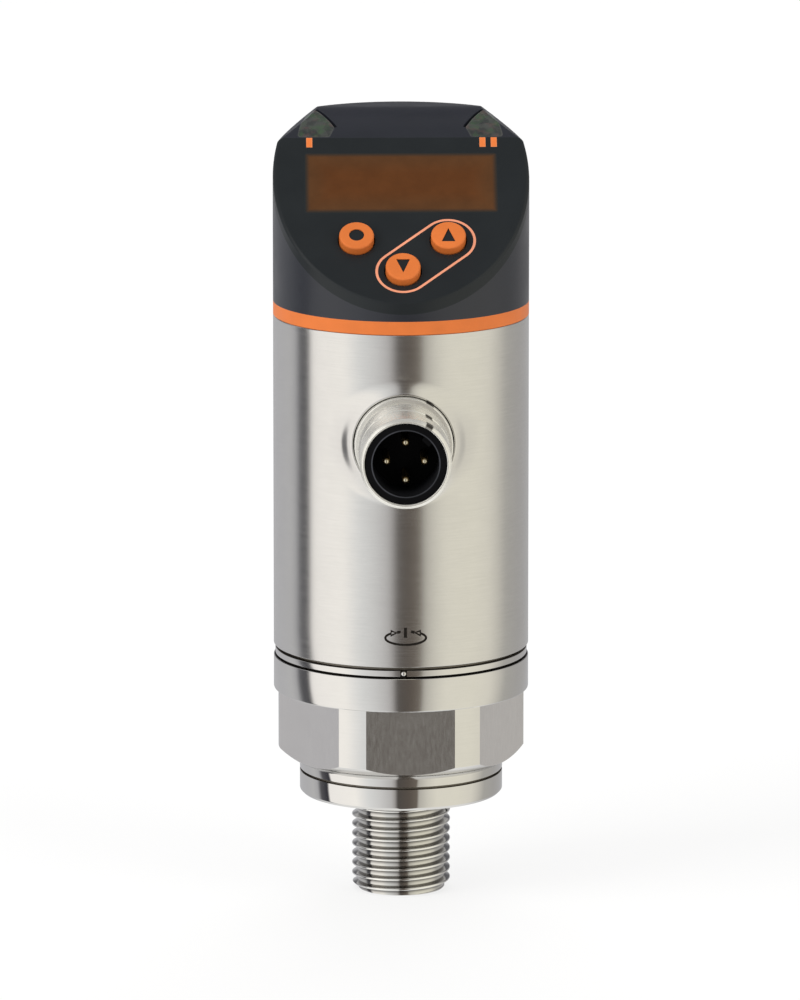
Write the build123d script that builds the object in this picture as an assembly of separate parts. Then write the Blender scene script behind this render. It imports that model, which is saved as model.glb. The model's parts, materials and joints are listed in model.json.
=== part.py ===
from build123d import *
import math
import os

# Pressure sensor with a turning display head, in millimetres.
# The origin is on the vertical axis, in the sealing face under the flange.
# +Z points up through the housing and the display faces -Y.

# Process connection
thread_diameter = 13.157
thread_length = 13.4
thread_end_chamfer = 0.9
relief_diameter = 11.4
relief_width = 1.3
flange_setback = 1.45
flange_height = 4.7
flange_edge_chamfer = 0.35
flange_line_z = 3.07
flange_line_width = 0.3
flange_line_depth = 0.25
hex_flat_setback = 2.0
hex_turned_setback = 0.6
hex_height = 9.45
hex_foot_height = 1.5
hex_foot_step = 0.35
hex_angle = 3.4
collar_height = 4.7
port_diameter = 6.0
port_mouth_chamfer = 0.6

# Measuring cell and what holds it
neck_wall = 3.25
cell_shoulder = 0.9
cell_height = 6.0
cell_clearance = 0.1
chamber_floor_z = 3.6
cell_seal_section = 2.0
cell_seal_squeezed_height = 1.6
cell_seal_inset = 1.0
cell_seal_groove_depth = 1.3
support_ring_height = 1.5
retaining_ring_width = 3.8
retaining_ring_height = 4.0
spanner_slot_width = 2.0
spanner_slot_depth = 1.5
cell_board_gap = 0.4
cell_board_height = 1.0
cell_lead_diameter = 1.8

# Seal under the flange
port_seal_gap = 0.7215
port_seal_width = 2.0
port_seal_groove_depth = 1.1
port_seal_recess = 0.05
seal_round_share = 0.3

# Turning seat between the process connection and the housing
base_ring_wall = 2.85
neck_end_land = 0.65
turning_clearance = 0.05
turning_gap = 0.1
seal_groove_depth = 1.2
seal_groove_width = 1.6
seal_groove_height = 2.2
clip_thickness = 0.95
clip_reach = 1.35
clip_groove_depth = 0.85
clip_gap_angle = 35.0
clip_clearance = 0.05
stop_pin_diameter = 1.2
stop_pin_offset = 1.85
stop_pin_height = 0.95
stop_pin_depth = 2.4
stop_groove_clearance = 0.15
turning_range = 345.0
stop_spare_angle = 0.5

# Housing
housing_diameter = 34.0
sleeve_wall = 0.8
sleeve_length = 44.75
base_ring_height = 1.2
base_ring_setback = 0.2
base_ring_spigot_height = 4.0
index_notch_width = 0.7
seat_clearance = 0.05
edge_round = 0.2
accent_ring_height = 1.75

# Connector, measured outwards along its own axis from the housing's surface
connector_drop = 14.6
connector_projection = 13.6
connector_thread_diameter = 12.0
connector_shoulder = 0.5
connector_body_projection = 1.5
connector_thread_relief = 0.8
connector_relief_depth = 0.5
connector_tube_wall = 0.6
connector_bore_shoulder = 0.55
connector_front_bore_depth = 10.8
connector_flange_diameter = 15.2
connector_flange_thickness = 1.5
connector_flange_gap = 0.2
connector_end_chamfer = 0.45
connector_seal_gap = 1.5
connector_seal_width = 1.2
connector_seal_depth = 0.8
collar_projection = 0.8
collar_wall = 0.75
collar_root_depth = 4.0
collar_flare_angle = 30.0
collar_foot_round = 0.6
collar_lip_round = 0.3
insert_clearance = 0.02
insert_setback = 0.25
insert_wall = 1.05
socket_depth = 8.0
contact_diameter = 1.0
contact_circle = 5.0
contact_reach = 6.0
contact_tail = 3.2
contact_tip_share = 0.45
contact_count = 4
key_width = 1.3
key_height = 0.75
key_angle = 45.0
key_setback = 1.2

# Head
head_height = 23.95
head_wall = 1.6
head_band_height = 2.515
head_top_depth = 8.93
ridge_radius = 12.4
corner_inset = 6.1
corner_slope = 32.2
face_wall = 1.4
cover_thickness = 1.2
head_edge_round = 0.5
spigot_depth = 4.0
spigot_wall = 1.3

# Window and display, placed on the slanted face
window_side_inset = 4.3
window_top_gap = 2.73
window_bottom_gap = 4.82
window_corner = 0.4
window_lip = 0.2
module_clearance = 0.2
display_board_depth = 5.8
display_board_thickness = 1.2
display_board_clearance = 0.8

# Buttons on the slanted face
button_diameter = 4.6
button_proud = 1.2
button_clearance = 0.2
button_spread = 6.05
button_low_margin = 5.37
button_row_pitch = 5.3
button_top_round = 0.3
button_travel = 0.5
button_flange_width = 0.6
button_flange_height = 0.6
button_flange_gap = 0.15
button_stem_diameter = 2.4
switch_size = 4.2
switch_height = 1.4
symbol_depth = 1.0
symbol_recess = 0.15
ring_symbol_diameter = 2.0
arrow_width = 1.85
arrow_height = 2.3
outline_radius = 3.47
outline_width = 0.34
inlay_depth = 0.15

# Status lights in the corners of the head
lens_low_edge = 0.1
lens_outer_inset = 3.3
lens_inner_inset = 7.6
lens_high_inset = 8.3
lens_inner_high_rise = 1.4
lens_tip_inset = 5.7
lens_tip_rise = 5.9
lens_tip_outer_inset = 4.7
lens_corner_round = 0.35
lens_board_gap = 0.58
lens_slot_width = 0.4
lens_slot_depth = 1.2
led_size = 1.6
led_height = 0.9
led_wall_gap = 0.4
led_edge_gap = 0.25
mark_width = 0.8
mark_length = 1.65
mark_left_inset = 4.9
mark_right_inset = 6.1
mark_right_pitch = 1.5

# Boards and carrier inside the housing
main_board_y = 1.5
main_board_thickness = 1.6
main_board_inset = 2.65
main_board_lift = 2.35
main_board_top_gap = 0.7
carrier_gap = 0.4
carrier_base_height = 1.6
carrier_ring_width = 6.15
carrier_post_width = 3.0
carrier_post_depth = 7.0
carrier_post_inset = 2.85
carrier_slot_clearance = 0.1
board_edge_clearance = 0.15
ribbon_thickness = 0.3
ribbon_width = 8.0
ribbon_overlap = 4.0
socket_block_width = 6.0
socket_block_depth = 5.0
socket_block_height = 4.0
lead_gap = 0.3
connector_board_diameter = 13.0
connector_board_thickness = 1.0
connector_board_gap = 1.2
connector_ribbon_width = 5.0
connector_ribbon_drop = 5.0

# Components on the main board, placed from its side edges and its lower edge
processor_size = 7.0
processor_height = 1.2
processor_inset = 7.5
processor_rise = 7.8
converter_width = 5.0
converter_length = 6.0
converter_height = 1.6
converter_inset = 7.0
converter_rise = 9.8
capacitor_width = 5.0
capacitor_length = 4.0
capacitor_height = 2.4
capacitor_inset = 6.5
capacitor_rise = 20.8
amplifier_size = 5.0
amplifier_height = 1.4
amplifier_inset = 5.5
driver_width = 4.0
driver_length = 6.0
driver_height = 1.2
driver_inset = 5.5
front_chip_rise = 9.8

# Heights and radii that follow from the sizes above
housing_radius = housing_diameter / 2
hex_across_flats = housing_diameter - 2 * hex_flat_setback
hex_turned_diameter = housing_diameter - 2 * hex_turned_setback
flange_diameter = hex_across_flats - 2 * flange_setback
hex_foot_diameter = flange_diameter + 2 * hex_foot_step
hex_bottom_z = flange_height
hex_top_z = hex_bottom_z + hex_height
collar_top_z = hex_top_z + collar_height
base_ring_z = collar_top_z + turning_gap
base_ring_diameter = housing_diameter - 2 * base_ring_setback
sleeve_bottom_z = base_ring_z + base_ring_height
sleeve_top_z = sleeve_bottom_z + sleeve_length
sleeve_bore_radius = housing_radius - sleeve_wall
spigot_radius = sleeve_bore_radius - seat_clearance
spigot_top_z = sleeve_bottom_z + base_ring_spigot_height
seat_bore_radius = spigot_radius - base_ring_wall
neck_radius = seat_bore_radius - turning_clearance
clip_bottom_z = spigot_top_z + clip_clearance
neck_top_z = clip_bottom_z + clip_thickness + clip_clearance + neck_end_land
clip_outer_radius = neck_radius + clip_reach
stop_pin_reach = neck_radius + stop_pin_offset

# Cell chamber, sized from the neck inwards
retaining_thread_radius = neck_radius - neck_wall
cell_radius = retaining_thread_radius - cell_shoulder - cell_clearance
cell_seal_inner_radius = cell_radius - cell_seal_inset - cell_seal_section
ring_bore_radius = retaining_thread_radius - retaining_ring_width
cell_board_radius = ring_bore_radius - cell_board_gap
port_seal_inner_radius = thread_diameter / 2 + port_seal_gap
cell_bottom_z = chamber_floor_z - cell_seal_groove_depth + cell_seal_squeezed_height
cell_top_z = cell_bottom_z + cell_height
nut_seat_z = cell_top_z + support_ring_height

# Slanted face, from the band under it up to the ridge
head_bottom_z = sleeve_top_z + accent_ring_height
head_top_z = head_bottom_z + head_height
spigot_bottom_z = sleeve_top_z - spigot_depth
ridge_y = housing_radius - head_top_depth
slope = math.atan2(head_height - head_band_height, housing_radius + ridge_y)
face_axis_z = head_bottom_z + head_band_height + math.tan(slope) * housing_radius
corner_reach = housing_radius - corner_inset
face_plane = Plane(
    origin=(0, 0, face_axis_z),
    x_dir=(1, 0, 0),
    z_dir=(0, -math.sin(slope), math.cos(slope)),
)
cover_edge = ridge_y / math.cos(slope) - ridge_radius * math.tan(slope / 2)
cover_top_y = cover_edge * math.cos(slope)
window_width = housing_diameter - 2 * window_side_inset
button_low_row = button_low_margin - housing_radius / math.cos(slope)
button_row = button_low_row + button_row_pitch
window_high_row = cover_edge - window_top_gap
window_low_row = button_row + window_bottom_gap
window_height = window_high_row - window_low_row
window_centre = (window_high_row + window_low_row) / 2
button_hole_diameter = button_diameter + 2 * button_clearance
display_board_top = -display_board_depth
led_row = cover_edge + led_edge_gap
board_high_row = led_row + led_size
led_corner_y = board_high_row * math.cos(slope) + display_board_depth * math.sin(slope)
led_reach = math.sqrt((housing_radius - head_wall) ** 2 - led_corner_y**2)
led_x = led_reach - led_size / 2 - led_wall_gap
board_corner_z = face_axis_z + board_high_row * math.sin(slope) + display_board_top * math.cos(slope)
lens_bottom_z = board_corner_z + lens_board_gap
cutter_reach = housing_diameter

# Connector places, outwards from the housing's axis
connector_z = sleeve_top_z - connector_drop
connector_body_diameter = connector_thread_diameter + 2 * connector_shoulder
connector_bore_diameter = connector_thread_diameter - 2 * connector_tube_wall
connector_rear_bore_diameter = connector_bore_diameter - 2 * connector_bore_shoulder
connector_face = housing_radius + connector_projection
connector_body_end = housing_radius + connector_body_projection
connector_bore_step = connector_face - connector_front_bore_depth
flange_corner = math.sqrt(sleeve_bore_radius**2 - (connector_flange_diameter / 2) ** 2)
connector_flange_front = flange_corner - connector_flange_gap
connector_rear = connector_flange_front - connector_flange_thickness
connector_seal_place = connector_flange_front + connector_seal_gap
collar_face = housing_radius + collar_projection
collar_diameter = connector_body_diameter + 2 * collar_wall
socket_diameter = connector_bore_diameter - 2 * insert_wall

# Boards and carrier
main_board_width = 2 * (spigot_radius - main_board_inset)
main_board_bottom_z = neck_top_z + main_board_lift
main_board_top_z = spigot_bottom_z - main_board_top_gap

os.makedirs("parts", exist_ok=True)


def disc(radius, height, bottom):
    """Upright cylinder on the axis."""
    solid = Cylinder(radius, height, align=(Align.CENTER, Align.CENTER, Align.MIN))
    return Pos(0, 0, bottom) * solid


def tube(outer_radius, inner_radius, height, bottom):
    """Upright ring on the axis."""
    return disc(outer_radius, height, bottom) - disc(inner_radius, height, bottom)


def turned(points):
    """Solid of revolution about Z from (radius, height) points."""
    outline = make_face(Polyline(*points, close=True))
    return revolve(Plane.XZ * outline, axis=Axis.Z)


def turned_on_connector(points):
    """Solid of revolution about the connector's axis, from (radius, reach) points."""
    about_z = turned(points)
    return Pos(0, 0, connector_z) * Rot(X=90) * about_z


def on_face(x, row, bottom, solid):
    """Solid placed on the slanted face, with its base at a given height above it."""
    return face_plane * Pos(x, row, bottom) * solid


def block(width, depth, height):
    """Box centred in X and Y, standing on its base."""
    return Box(width, depth, height, align=(Align.CENTER, Align.CENTER, Align.MIN))


def rod(diameter, height):
    """Cylinder standing on its base."""
    return Cylinder(diameter / 2, height, align=(Align.CENTER, Align.CENTER, Align.MIN))


def head_form(radius, bottom, inset):
    """Head outline: a cylinder under the slanted face, the top and the two corner slopes.

    inset moves the face, the top and the slopes inwards.
    """
    reach = 2 * radius
    top = head_top_z - inset
    axis_height = face_axis_z - inset / math.cos(slope)
    rise = math.tan(slope)
    edge_y = (top - axis_height) / rise
    below = bottom - reach
    side = Polyline(
        (-reach, below),
        (reach, below),
        (reach, top),
        (edge_y, top),
        (-reach, axis_height - rise * reach),
        close=True,
    )
    form = extrude(Plane.YZ * make_face(side), amount=reach, both=True)
    ridge = form.edges().filter_by(Axis.X).sort_by_distance((0, edge_y, top))[0]
    form = fillet(ridge, ridge_radius - inset)
    corner = math.radians(corner_slope)
    corner_x = corner_reach - inset * math.tan(corner / 2)
    drop = (reach - corner_x) * math.tan(corner)
    front = Polyline(
        (-reach, below),
        (reach, below),
        (reach, top - drop),
        (corner_x, top),
        (-corner_x, top),
        (-reach, top - drop),
        close=True,
    )
    form = form & extrude(Plane.XZ * make_face(front), amount=reach, both=True)
    return form & disc(radius, top - bottom, bottom)


def make_head_block():
    """Solid head with its moulded edges rounded, from which cover, lenses and shell are cut."""
    head = head_form(housing_radius, head_bottom_z, 0)
    upper = head.edges().filter_by(lambda edge: edge.center().Z > head_bottom_z + head_edge_round)
    seam = upper.filter_by(Axis.Z)
    return fillet([edge for edge in upper if edge not in seam], head_edge_round)


def make_process_connection():
    """Hexagon, flange, threaded stub, cell chamber and turning neck, turned in one piece."""
    thread_radius = thread_diameter / 2
    relief_radius = relief_diameter / 2
    flange_radius = flange_diameter / 2
    turned_radius = hex_turned_diameter / 2
    chamber_radius = cell_radius + cell_clearance
    port_radius = port_diameter / 2
    body = turned([
        (0, -thread_length),
        (thread_radius - thread_end_chamfer, -thread_length),
        (thread_radius, -thread_length + thread_end_chamfer),
        (thread_radius, -relief_width),
        (relief_radius, -relief_width * 2 / 3),
        (relief_radius, 0),
        (flange_radius - flange_edge_chamfer, 0),
        (flange_radius, flange_edge_chamfer),
        (flange_radius, flange_height),
        (hex_foot_diameter / 2, hex_bottom_z),
        (turned_radius, hex_bottom_z + hex_foot_height),
        (turned_radius, hex_top_z),
        (housing_radius - edge_round, hex_top_z),
        (housing_radius, hex_top_z + edge_round),
        (housing_radius, collar_top_z - edge_round),
        (housing_radius - edge_round, collar_top_z),
        (neck_radius, collar_top_z),
        (neck_radius, neck_top_z - edge_round),
        (neck_radius - edge_round, neck_top_z),
        (0, neck_top_z),
    ])
    hexagon = extrude(RegularPolygon(hex_across_flats / 2, 6, major_radius=False), hex_height)
    hexagon = Pos(0, 0, hex_bottom_z) * Rot(Z=hex_angle) * hexagon
    body -= disc(housing_radius, hex_height, hex_bottom_z) - hexagon
    line_radius = flange_radius - flange_line_depth
    body -= tube(housing_radius, line_radius, flange_line_width, flange_line_z - flange_line_width / 2)
    body -= disc(port_radius, thread_length + chamber_floor_z, -thread_length)
    mouth = Cone(port_radius + port_mouth_chamfer, port_radius, port_mouth_chamfer)
    body -= Pos(0, 0, -thread_length + port_mouth_chamfer / 2) * mouth
    body -= disc(chamber_radius, neck_top_z - chamber_floor_z, chamber_floor_z)
    body -= disc(retaining_thread_radius, neck_top_z - nut_seat_z, nut_seat_z)
    groove_inner = cell_seal_inner_radius - seat_clearance
    groove_outer = cell_seal_inner_radius + cell_seal_section + seat_clearance
    groove_floor = chamber_floor_z - cell_seal_groove_depth
    body -= tube(groove_outer, groove_inner, cell_seal_groove_depth, groove_floor)
    face_groove_inner = port_seal_inner_radius - seat_clearance
    face_groove_outer = port_seal_inner_radius + port_seal_width + seat_clearance
    body -= tube(face_groove_outer, face_groove_inner, port_seal_groove_depth, 0)
    seal_bottom = collar_top_z + seal_groove_height
    body -= tube(housing_radius, neck_radius - seal_groove_depth, seal_groove_width, seal_bottom)
    clip_slot = clip_thickness + 2 * clip_clearance
    clip_floor = clip_bottom_z - clip_clearance
    body -= tube(housing_radius, neck_radius - clip_groove_depth, clip_slot, clip_floor)
    pin_hole = disc(stop_pin_diameter / 2, stop_pin_depth, collar_top_z - stop_pin_depth)
    return body - Pos(0, stop_pin_reach, 0) * pin_hole


def make_port_seal():
    """Elastomer ring let into the flange's underside."""
    inner = port_seal_inner_radius
    height = port_seal_groove_depth - port_seal_recess
    ring = tube(inner + port_seal_width, inner, height, port_seal_recess)
    return fillet(ring.edges().group_by(Axis.Z)[0], port_seal_width * seal_round_share / 2)


def make_cell_seal():
    """Squeezed O-ring under the measuring cell."""
    inner = cell_seal_inner_radius
    bottom = chamber_floor_z - cell_seal_groove_depth
    ring = tube(inner + cell_seal_section, inner, cell_seal_squeezed_height, bottom)
    return fillet(ring.edges().filter_by(GeomType.CIRCLE), cell_seal_squeezed_height * seal_round_share)


def make_sensor_cell():
    """Ceramic cell: a thick disc with a step under its rim."""
    cell = disc(cell_radius, cell_height, cell_bottom_z)
    return chamfer(cell.edges().filter_by(GeomType.CIRCLE), edge_round)


def make_cell_support_ring():
    """Spacer between the cell and the threaded ring."""
    return tube(cell_radius, ring_bore_radius, support_ring_height, cell_top_z)


def make_cell_retaining_ring():
    """Threaded ring with two spanner slots that clamps the cell."""
    outer = retaining_thread_radius - seat_clearance
    ring = tube(outer, ring_bore_radius, retaining_ring_height, nut_seat_z)
    slot_bottom = nut_seat_z + retaining_ring_height - spanner_slot_depth
    slot = block(2 * retaining_thread_radius, spanner_slot_width, spanner_slot_depth)
    return ring - Pos(0, 0, slot_bottom) * slot


def make_cell_board():
    """Small round board on the back of the cell."""
    return disc(cell_board_radius, cell_board_height, cell_top_z)


def make_cell_lead():
    """Lead from the cell to the socket, on the turning axis."""
    bottom = cell_top_z + cell_board_height
    top = main_board_bottom_z + lead_gap
    return disc(cell_lead_diameter / 2, top - bottom, bottom)


def make_housing_seal():
    """O-ring in the neck that seals the turning seat."""
    inner = neck_radius - seal_groove_depth + turning_clearance / 2
    outer = seat_bore_radius - turning_clearance / 2
    margin = turning_clearance
    bottom = collar_top_z + seal_groove_height + margin
    ring = tube(outer, inner, seal_groove_width - 2 * margin, bottom)
    return fillet(ring.edges().filter_by(GeomType.CIRCLE), seal_groove_depth * seal_round_share)


def make_retaining_clip():
    """Open spring clip in the neck's upper groove, which holds the housing down."""
    inner = neck_radius - clip_groove_depth + clip_clearance
    clip = tube(clip_outer_radius, inner, clip_thickness, clip_bottom_z)
    half_gap = math.radians(clip_gap_angle / 2)
    far = 2 * clip_outer_radius
    gap = make_face(Polyline(
        (0, 0),
        (-far * math.sin(half_gap), far * math.cos(half_gap)),
        (far * math.sin(half_gap), far * math.cos(half_gap)),
        close=True,
    ))
    return clip - Pos(0, 0, clip_bottom_z) * extrude(gap, clip_thickness)


def make_stop_pin():
    """Pin in the fixed collar that ends the turn at the web of the base ring's groove."""
    height = stop_pin_depth + stop_pin_height
    pin = disc(stop_pin_diameter / 2, height, collar_top_z - stop_pin_depth)
    pin = chamfer(pin.edges().group_by(Axis.Z)[-1], edge_round)
    return Pos(0, stop_pin_reach, 0) * pin


def make_base_ring():
    """Bearing ring pressed into the sleeve, with the stop groove and the index notch."""
    ring = turned([
        (seat_bore_radius, base_ring_z),
        (base_ring_diameter / 2 - edge_round, base_ring_z),
        (base_ring_diameter / 2, base_ring_z + edge_round),
        (base_ring_diameter / 2, sleeve_bottom_z),
        (spigot_radius, sleeve_bottom_z),
        (spigot_radius, spigot_top_z),
        (seat_bore_radius, spigot_top_z),
    ])
    half_width = stop_pin_diameter / 2 + stop_groove_clearance
    depth = stop_pin_height + stop_groove_clearance - turning_gap
    groove = tube(stop_pin_reach + half_width, stop_pin_reach - half_width, depth, base_ring_z)
    pin_angle = 2 * math.degrees(math.asin(stop_pin_diameter / 2 / stop_pin_reach))
    web_angle = 360 - turning_range - pin_angle - 2 * stop_spare_angle
    half_web = math.radians(web_angle / 2)
    far = housing_diameter
    web = make_face(Polyline(
        (0, 0),
        (-far * math.sin(half_web), -far * math.cos(half_web)),
        (far * math.sin(half_web), -far * math.cos(half_web)),
        close=True,
    ))
    ring -= groove - Pos(0, 0, base_ring_z) * extrude(web, depth)
    notch = rod(index_notch_width, base_ring_height)
    return ring - Pos(0, -base_ring_diameter / 2, base_ring_z) * notch


def make_housing_sleeve():
    """Steel sleeve with the drawn collar for the connector."""
    sleeve = disc(housing_radius, sleeve_length, sleeve_bottom_z)
    flare = math.tan(math.radians(collar_flare_angle))
    collar_radius = collar_diameter / 2
    collar_root = sleeve_bore_radius - collar_root_depth
    collar = turned_on_connector([
        (0, collar_root),
        (collar_radius + flare * (collar_face - collar_root), collar_root),
        (collar_radius, collar_face),
        (0, collar_face),
    ])
    sleeve += collar & disc(housing_diameter, sleeve_length, sleeve_bottom_z)
    foot = sleeve.edges().filter_by(GeomType.BSPLINE)
    sleeve = fillet(foot, collar_foot_round)
    lip = sleeve.edges().filter_by(GeomType.CIRCLE).sort_by(Axis.Y)[0]
    sleeve = fillet(lip, collar_lip_round)
    sleeve -= disc(sleeve_bore_radius, sleeve_length, sleeve_bottom_z)
    bore_radius = connector_body_diameter / 2 + seat_clearance
    bore = turned_on_connector([
        (0, 0),
        (bore_radius, 0),
        (bore_radius, connector_face),
        (0, connector_face),
    ])
    sleeve -= bore
    ends = sleeve.edges().filter_by(GeomType.CIRCLE)
    ends = ends.filter_by(lambda edge: abs(edge.radius - housing_radius) < edge_round / 2)
    return chamfer(ends, edge_round)


def make_accent_ring():
    """Coloured ring between the sleeve and the head."""
    return tube(housing_radius, sleeve_bore_radius, accent_ring_height, sleeve_top_z)


def make_lens_prism(side):
    """Upright prism through the head's corner, in which the status lens sits."""
    low_y = cover_top_y + lens_low_edge
    outline = Polyline(
        (side * (housing_radius - lens_outer_inset), low_y),
        (side * (housing_radius - lens_inner_inset), low_y),
        (side * (housing_radius - lens_high_inset), low_y + lens_inner_high_rise),
        (side * (housing_radius - lens_tip_inset), low_y + lens_tip_rise),
        (side * (housing_radius - lens_tip_outer_inset), low_y + lens_tip_rise),
        close=True,
    )
    face = make_face(outline)
    face = fillet(face.vertices(), lens_corner_round)
    height = head_top_z - lens_bottom_z
    return Pos(0, 0, lens_bottom_z) * extrude(face, amount=height, dir=(0, 0, 1))


def make_lens_slot(side):
    """Narrow gap along the upper edge of a status lens."""
    low_y = cover_top_y + lens_low_edge
    start = Vector(side * (housing_radius - lens_high_inset), low_y + lens_inner_high_rise)
    end = Vector(side * (housing_radius - lens_tip_inset), low_y + lens_tip_rise)
    length = (end - start).length
    turn = math.degrees(math.atan2(end.Y - start.Y, end.X - start.X))
    middle = (start + end) * 0.5
    across = Vector(0, 0, 1).cross((end - start).normalized()) * (side * lens_slot_width / 2)
    place = middle + across
    surface = face_axis_z + math.tan(slope) * start.Y
    bottom = surface - lens_slot_depth
    slot = block(length, lens_slot_width, head_top_z - bottom)
    return Pos(place.X, place.Y, bottom) * Rot(Z=turn) * slot


def make_head_housing():
    """Moulded head: cylinder, slanted wall, blended top, corner slopes and spigot."""
    head = head_block - cover_zone
    head += disc(spigot_radius, spigot_depth + accent_ring_height, spigot_bottom_z)
    cavity_radius = housing_radius - head_wall
    head -= head_form(cavity_radius, head_bottom_z, cover_thickness + face_wall)
    spigot_height = head_bottom_z - spigot_bottom_z
    head -= disc(spigot_radius - spigot_wall, spigot_height, spigot_bottom_z)
    opening_width = window_width - 2 * window_lip
    opening_height = window_height - 2 * window_lip
    wall_hole = block(opening_width, opening_height, face_wall)
    head -= on_face(0, window_centre, -cover_thickness - face_wall, wall_hole)
    for x, row in button_places.values():
        hole = rod(button_hole_diameter, face_wall)
        head -= on_face(x, row, -cover_thickness - face_wall, hole)
    for side in (-1, 1):
        head -= make_lens_prism(side)
        head -= make_lens_slot(side)
    return head


def outline_ring(width):
    """Rounded loop round the two arrow buttons, drawn on the face as a thin line."""
    up_x, up_row = button_places["up"]
    down_x, down_row = button_places["down"]
    length = math.hypot(up_x - down_x, up_row - down_row)
    turn = math.degrees(math.atan2(up_row - down_row, up_x - down_x))
    outer = SlotCenterToCenter(length, 2 * outline_radius + width)
    inner = SlotCenterToCenter(length, 2 * outline_radius - width)
    loop = extrude(outer - inner, inlay_depth)
    return on_face((up_x + down_x) / 2, (up_row + down_row) / 2, -inlay_depth, Rot(Z=turn) * loop)


def mark_bars():
    """Bars beside the status lenses: one for the left output and two for the right."""
    bar = block(mark_width, mark_length, inlay_depth)
    middle = cover_edge - mark_length / 2
    right = housing_radius - mark_right_inset
    places = [mark_left_inset - housing_radius, right, right + mark_right_pitch]
    return [on_face(x, middle, -inlay_depth, bar) for x in places]


def make_front_cover():
    """Dark cover plate on the slanted face, open at the window and the buttons."""
    cover = head_block & cover_zone
    cover -= window_plate()
    for x, row in button_places.values():
        hole = rod(button_hole_diameter, cover_thickness)
        cover -= on_face(x, row, -cover_thickness, hole)
    cover -= outline_ring(outline_width)
    for bar in mark_bars():
        cover -= bar
    return cover


def window_plate():
    """Tinted window flush in the cover."""
    plate = extrude(RectangleRounded(window_width, window_height, window_corner), cover_thickness)
    return on_face(0, window_centre, -cover_thickness, plate)


def make_display_module():
    """Four-digit display block behind the window, with its digit field recessed."""
    width = window_width - 2 * window_lip - 2 * module_clearance
    height = window_height - 2 * window_lip - 2 * module_clearance
    top = -cover_thickness - module_clearance
    module = block(width, height, top - display_board_top)
    return on_face(0, window_centre, display_board_top, module)


def make_display_board():
    """Board parallel to the face that carries display, switches and lights."""
    board_radius = housing_radius - head_wall - display_board_clearance
    board = disc(board_radius, head_top_z - spigot_bottom_z, spigot_bottom_z)
    slab = block(cutter_reach, cutter_reach, display_board_thickness)
    board &= on_face(0, 0, display_board_top - display_board_thickness, slab)
    keep = block(cutter_reach, 2 * cutter_reach, cutter_reach)
    return board & on_face(0, board_high_row - cutter_reach, -cutter_reach, keep)


def make_tact_switches():
    """One push switch on the board under each button."""
    switches = Part()
    for x, row in button_places.values():
        body = block(switch_size, switch_size, switch_height)
        switches += on_face(x, row, display_board_top, body)
    return switches


def make_status_leds():
    """Light sources under the two lenses."""
    leds = Part()
    for x in (-led_x, led_x):
        chip = block(led_size, led_size, led_height)
        leds += on_face(x, led_row, display_board_top, chip)
    return leds


def make_button(x, row, symbol):
    """Cap with a retaining flange and a stem over its switch, open where the symbol shows."""
    flange_top = -cover_thickness - face_wall - button_flange_gap
    flange_bottom = flange_top - button_flange_height
    cap = rod(button_diameter, button_proud - flange_bottom)
    cap = fillet(cap.edges().group_by(Axis.Z)[-1], button_top_round)
    cap = on_face(x, row, flange_bottom, cap)
    flange = rod(button_diameter + 2 * button_flange_width, button_flange_height)
    cap += on_face(x, row, flange_bottom, flange)
    switch_top = display_board_top + switch_height
    stem_end = switch_top + button_travel + button_clearance / 2
    stem = rod(button_stem_diameter, flange_bottom - stem_end)
    cap += on_face(x, row, stem_end, stem)
    return cap - on_face(x, row, button_proud - symbol_depth, extrude(symbol, symbol_depth))


def make_button_core(x, row, symbol):
    """Dark core that fills a button's symbol, a little below its top."""
    core = extrude(symbol, symbol_depth - symbol_recess)
    return on_face(x, row, button_proud - symbol_depth, core)


def arrow(direction):
    """Triangle that points up or down the face."""
    half_width = arrow_width / 2
    tip = direction * arrow_height / 2
    face = make_face(Polyline(
        (-half_width, -tip),
        (half_width, -tip),
        (0, tip),
        close=True,
    ))
    return face


def make_connector_shell():
    """Metal connector body: inner flange, seal groove, seat in the collar and plain thread."""
    body_radius = connector_body_diameter / 2
    thread_radius = connector_thread_diameter / 2
    relief_radius = thread_radius - connector_relief_depth
    rear_bore = connector_rear_bore_diameter / 2
    front_bore = connector_bore_diameter / 2
    seal_floor = body_radius - connector_seal_depth
    relief_end = connector_body_end + connector_thread_relief
    return turned_on_connector([
        (rear_bore, connector_rear),
        (connector_flange_diameter / 2, connector_rear),
        (connector_flange_diameter / 2, connector_flange_front),
        (body_radius, connector_flange_front),
        (body_radius, connector_seal_place),
        (seal_floor, connector_seal_place),
        (seal_floor, connector_seal_place + connector_seal_width),
        (body_radius, connector_seal_place + connector_seal_width),
        (body_radius, connector_body_end - edge_round),
        (body_radius - edge_round, connector_body_end),
        (relief_radius, connector_body_end),
        (relief_radius, relief_end),
        (thread_radius, relief_end + connector_relief_depth),
        (thread_radius, connector_face - connector_end_chamfer),
        (thread_radius - connector_end_chamfer, connector_face),
        (front_bore, connector_face),
        (front_bore, connector_bore_step),
        (rear_bore, connector_bore_step),
    ])


def make_connector_seal():
    """O-ring round the connector body, inside the collar."""
    inner = connector_body_diameter / 2 - connector_seal_depth + insert_clearance
    outer = connector_body_diameter / 2 + seat_clearance - insert_clearance
    low = connector_seal_place + insert_clearance
    high = connector_seal_place + connector_seal_width - insert_clearance
    ring = turned_on_connector([(inner, low), (outer, low), (outer, high), (inner, high)])
    return fillet(ring.edges().filter_by(GeomType.CIRCLE), connector_seal_depth * seal_round_share)


def contact_angles():
    """Directions of the contacts round the connector's axis."""
    return [turn * 360 / contact_count for turn in range(contact_count)]


def make_contact(bottom, top, radius):
    """Round bar along Z, before it is turned into the connector's direction."""
    return Pos(0, 0, bottom) * rod(2 * radius, top - bottom)


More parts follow.
